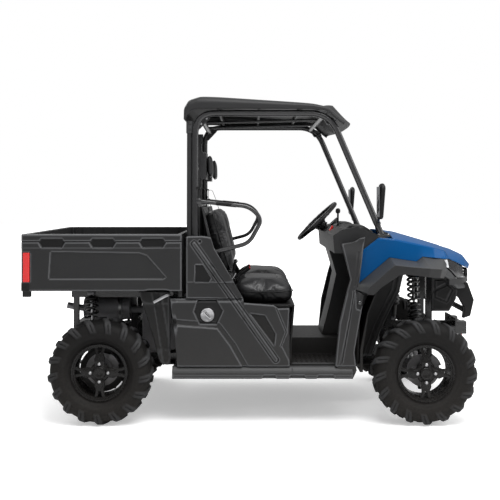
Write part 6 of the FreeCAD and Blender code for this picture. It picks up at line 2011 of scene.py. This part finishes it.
def winch_piece():
    """The winch: its CAD solids, turns of rope on the drum, a red strap and a hook."""
    parts = [dressed("winch", "frame", 0.003)]
    x, z = FRONT_X + 0.340, HUB_Z + 0.185
    along = np.linspace(-0.086, 0.086, 480)
    turn = 2 * np.pi * along / 0.0095
    path = np.stack([x + 0.0345 * np.cos(turn), along, z + 0.0345 * np.sin(turn)], -1)
    rope = carried(path, circle(0.0045, 6), side=(0, 1, 0))
    parts.append(solid("winch_rope", rope, "cast", smooth=60))
    parts.append(slat("winch_strap", rounded_path([(x + 0.032, 0.0, z - 0.010),
                                                   (x + 0.040, 0.0, z - 0.030),
                                                   (x + 0.034, 0.0, z - 0.085)], 0.01), 0.028,
                      0.003, "red", corner=0.001))
    hook = rounded_path([(x + 0.038, 0, z - 0.004), (x + 0.041, 0, z - 0.020),
                         (x + 0.036, 0.010, z - 0.034), (x + 0.036, 0.012, z - 0.018)], 0.01)
    parts.append(pipe("winch_hook", hook, 0.0042, "steel", side=(1, 0, 0), sides=12))
    merge("winch_whole", parts)


PLAIN = {
    "bed_frame": ("frame", 33), "bumper_guard": ("black", 40), "console": ("black", 33),
    "dashboard": ("black", 33), "drive_shafts": ("steel", 60), "engine_block": ("cast", 33),
    "floor_tub": ("black", 33), "front_arms": ("frame", 66),
    "front_differential": ("cast", 60), "front_fascia": ("charcoal", 33),
    "front_frame": ("frame", 33), "front_liners": ("black", 40), "hitch": ("frame", 33),
    "knuckle_left": ("cast", 50), "knuckle_right": ("cast", 50), "main_frame": ("frame", 33),
    "rack_housing": ("cast", 50), "rear_arms": ("frame", 66), "rear_carriers": ("cast", 50),
    "rear_differential": ("cast", 60), "rear_frame": ("frame", 33), "seat_base": ("black", 33),
    "seat_frames": ("frame", 33), "skid_plate": ("black", 33), "steering_column": ("black", 50),
    "steering_rack": ("steel", 50), "exhaust": ("cast", 60),
}

springs()
floor_mats()
lamp_piece = headlamp_piece()
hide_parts("headlamps")
both_sides(lamp_piece)
both_sides(nose_piece())
fuel_cap_piece()
release_lever()
both_sides(wheel_well())
both_sides(front_well())
both_sides(seat_side())
gear_knob()
dash_fittings()
winch_piece()
for node, (material, smooth) in PLAIN.items():
    piece = dressed(node, material, 0.0 if smooth > 45 else 0.002, smooth)
    if node == "dashboard":
        painted(piece, "charcoal", lambda x, y, z: np.abs(y) > high("dashboard")[1] - 0.004)
bands = [turned("exhaust_band_%d" % number, (REAR_X - 0.170 + place, -0.232, 0.632),
                [(-0.010, 0.0685), (-0.008, 0.0715), (0.008, 0.0715), (0.010, 0.0685)], "steel",
                sides=48, axis="x") for number, place in enumerate((0.060, 0.230))]
merge("exhaust_bands", bands)


# Floor, light and camera

WHITE = (1, 1, 1, 1)
WORLD_LOW = 0.10
WORLD_HIGH = 1.0
FLOOR_REACH = 40.0


def sky_and_floor():
    """A pale floor with a soft shadow, in a surround that looks white but lights the pieces
    from dark below to bright above."""
    world = bpy.data.worlds.new("studio")
    scene.world = world
    world.use_nodes = True
    tree = world.node_tree
    back = tree.nodes["Background"]
    path = tree.nodes.new("ShaderNodeLightPath")
    seen = maths(tree, "MAXIMUM", path.outputs["Is Camera Ray"],
                 path.outputs["Is Transmission Ray"])
    place = tree.nodes.new("ShaderNodeTexCoord").outputs["Generated"]
    split = new_node(tree, "SeparateXYZ", {}, Vector=place)
    sky = new_node(tree, "MapRange", {"From Min": -0.1, "From Max": 0.9, "To Min": WORLD_LOW,
                                      "To Max": WORLD_HIGH}, Value=split.outputs["Z"])
    lit = sky.outputs["Result"]
    strength = maths(tree, "ADD", lit,
                     maths(tree, "MULTIPLY", seen, maths(tree, "SUBTRACT", 1.0, lit)))
    back.inputs["Color"].default_value = WHITE
    tree.links.new(strength, back.inputs["Strength"])
    mesh = bpy.data.meshes.new("floor")
    corners = [(x * FLOOR_REACH, y * FLOOR_REACH, 0)
               for x, y in ((-1, -1), (1, -1), (1, 1), (-1, 1))]
    mesh.from_pydata(corners, [], [(0, 1, 2, 3)])
    floor = bpy.data.objects.new("floor", mesh)
    scene.collection.objects.link(floor)
    material = bpy.data.materials.new("pale_floor")
    material.use_nodes = True
    tree = material.node_tree
    shader = tree.nodes["Principled BSDF"]
    set_inputs(shader, {"Roughness": 0.9, "Specular IOR Level": 0.1, "Emission Color": WHITE})
    place = tree.nodes.new("ShaderNodeTexCoord").outputs["Object"]
    ramp = new_node(tree, "MapRange", {"To Min": 0.88, "To Max": 0.90},
                    Value=noise(tree, place, 3.0))
    tree.links.new(ramp.outputs["Result"], shader.inputs["Base Color"])
    path = tree.nodes.new("ShaderNodeLightPath")
    away = tree.nodes.new("ShaderNodeVectorMath")
    away.operation = "LENGTH"
    tree.links.new(place, away.inputs[0])
    glow = new_node(tree, "MapRange", {"From Min": 1.9, "From Max": 7.0, "To Min": 0.40,
                                       "To Max": 1.0}, Value=away.outputs["Value"])
    tree.links.new(maths(tree, "MULTIPLY", glow.outputs["Result"], path.outputs["Is Camera Ray"]),
                   shader.inputs["Emission Strength"])
    mesh.materials.append(material)


def lamp(name, place, aim, size, power):
    """A soft square lamp that looks at a point."""
    light = bpy.data.lights.new(name, "AREA")
    light.shape = "SQUARE"
    light.size = size
    light.energy = power
    thing = bpy.data.objects.new(name, light)
    thing.location = place
    thing.rotation_mode = "QUATERNION"
    thing.rotation_quaternion = (Vector(aim) - Vector(place)).to_track_quat("-Z", "Y")
    scene.collection.objects.link(thing)


sky_and_floor()
lamp("key", (1.0, -3.0, 5.2), (0.0, -0.3, 0.8), 3.2, 250)
lamp("front", (5.5, -1.0, 3.0), (0.4, 0.0, 0.8), 3.0, 90)
lamp("back", (-2.5, 4.0, 4.5), (0.0, 0.0, 0.8), 3.5, 110)

# The camera stands on the vehicle's right and looks square at its side
SENSOR = 36.0
PIXELS_WIDE = 500
FOCAL_PIXELS = 895.8
EYE = (-0.050, -5.940, 1.325)
EYE_ROW = 199
view_camera = bpy.data.cameras.new("side_view")
view_camera.sensor_width = SENSOR
view_camera.lens = FOCAL_PIXELS / PIXELS_WIDE * SENSOR
view_camera.shift_y = (EYE_ROW - PIXELS_WIDE / 2) / PIXELS_WIDE
view_camera.clip_end = 200
camera = bpy.data.objects.new("camera", view_camera)
camera.location = EYE
camera.rotation_euler = (math.pi / 2, 0, 0)
scene.collection.objects.link(camera)
scene.camera = camera
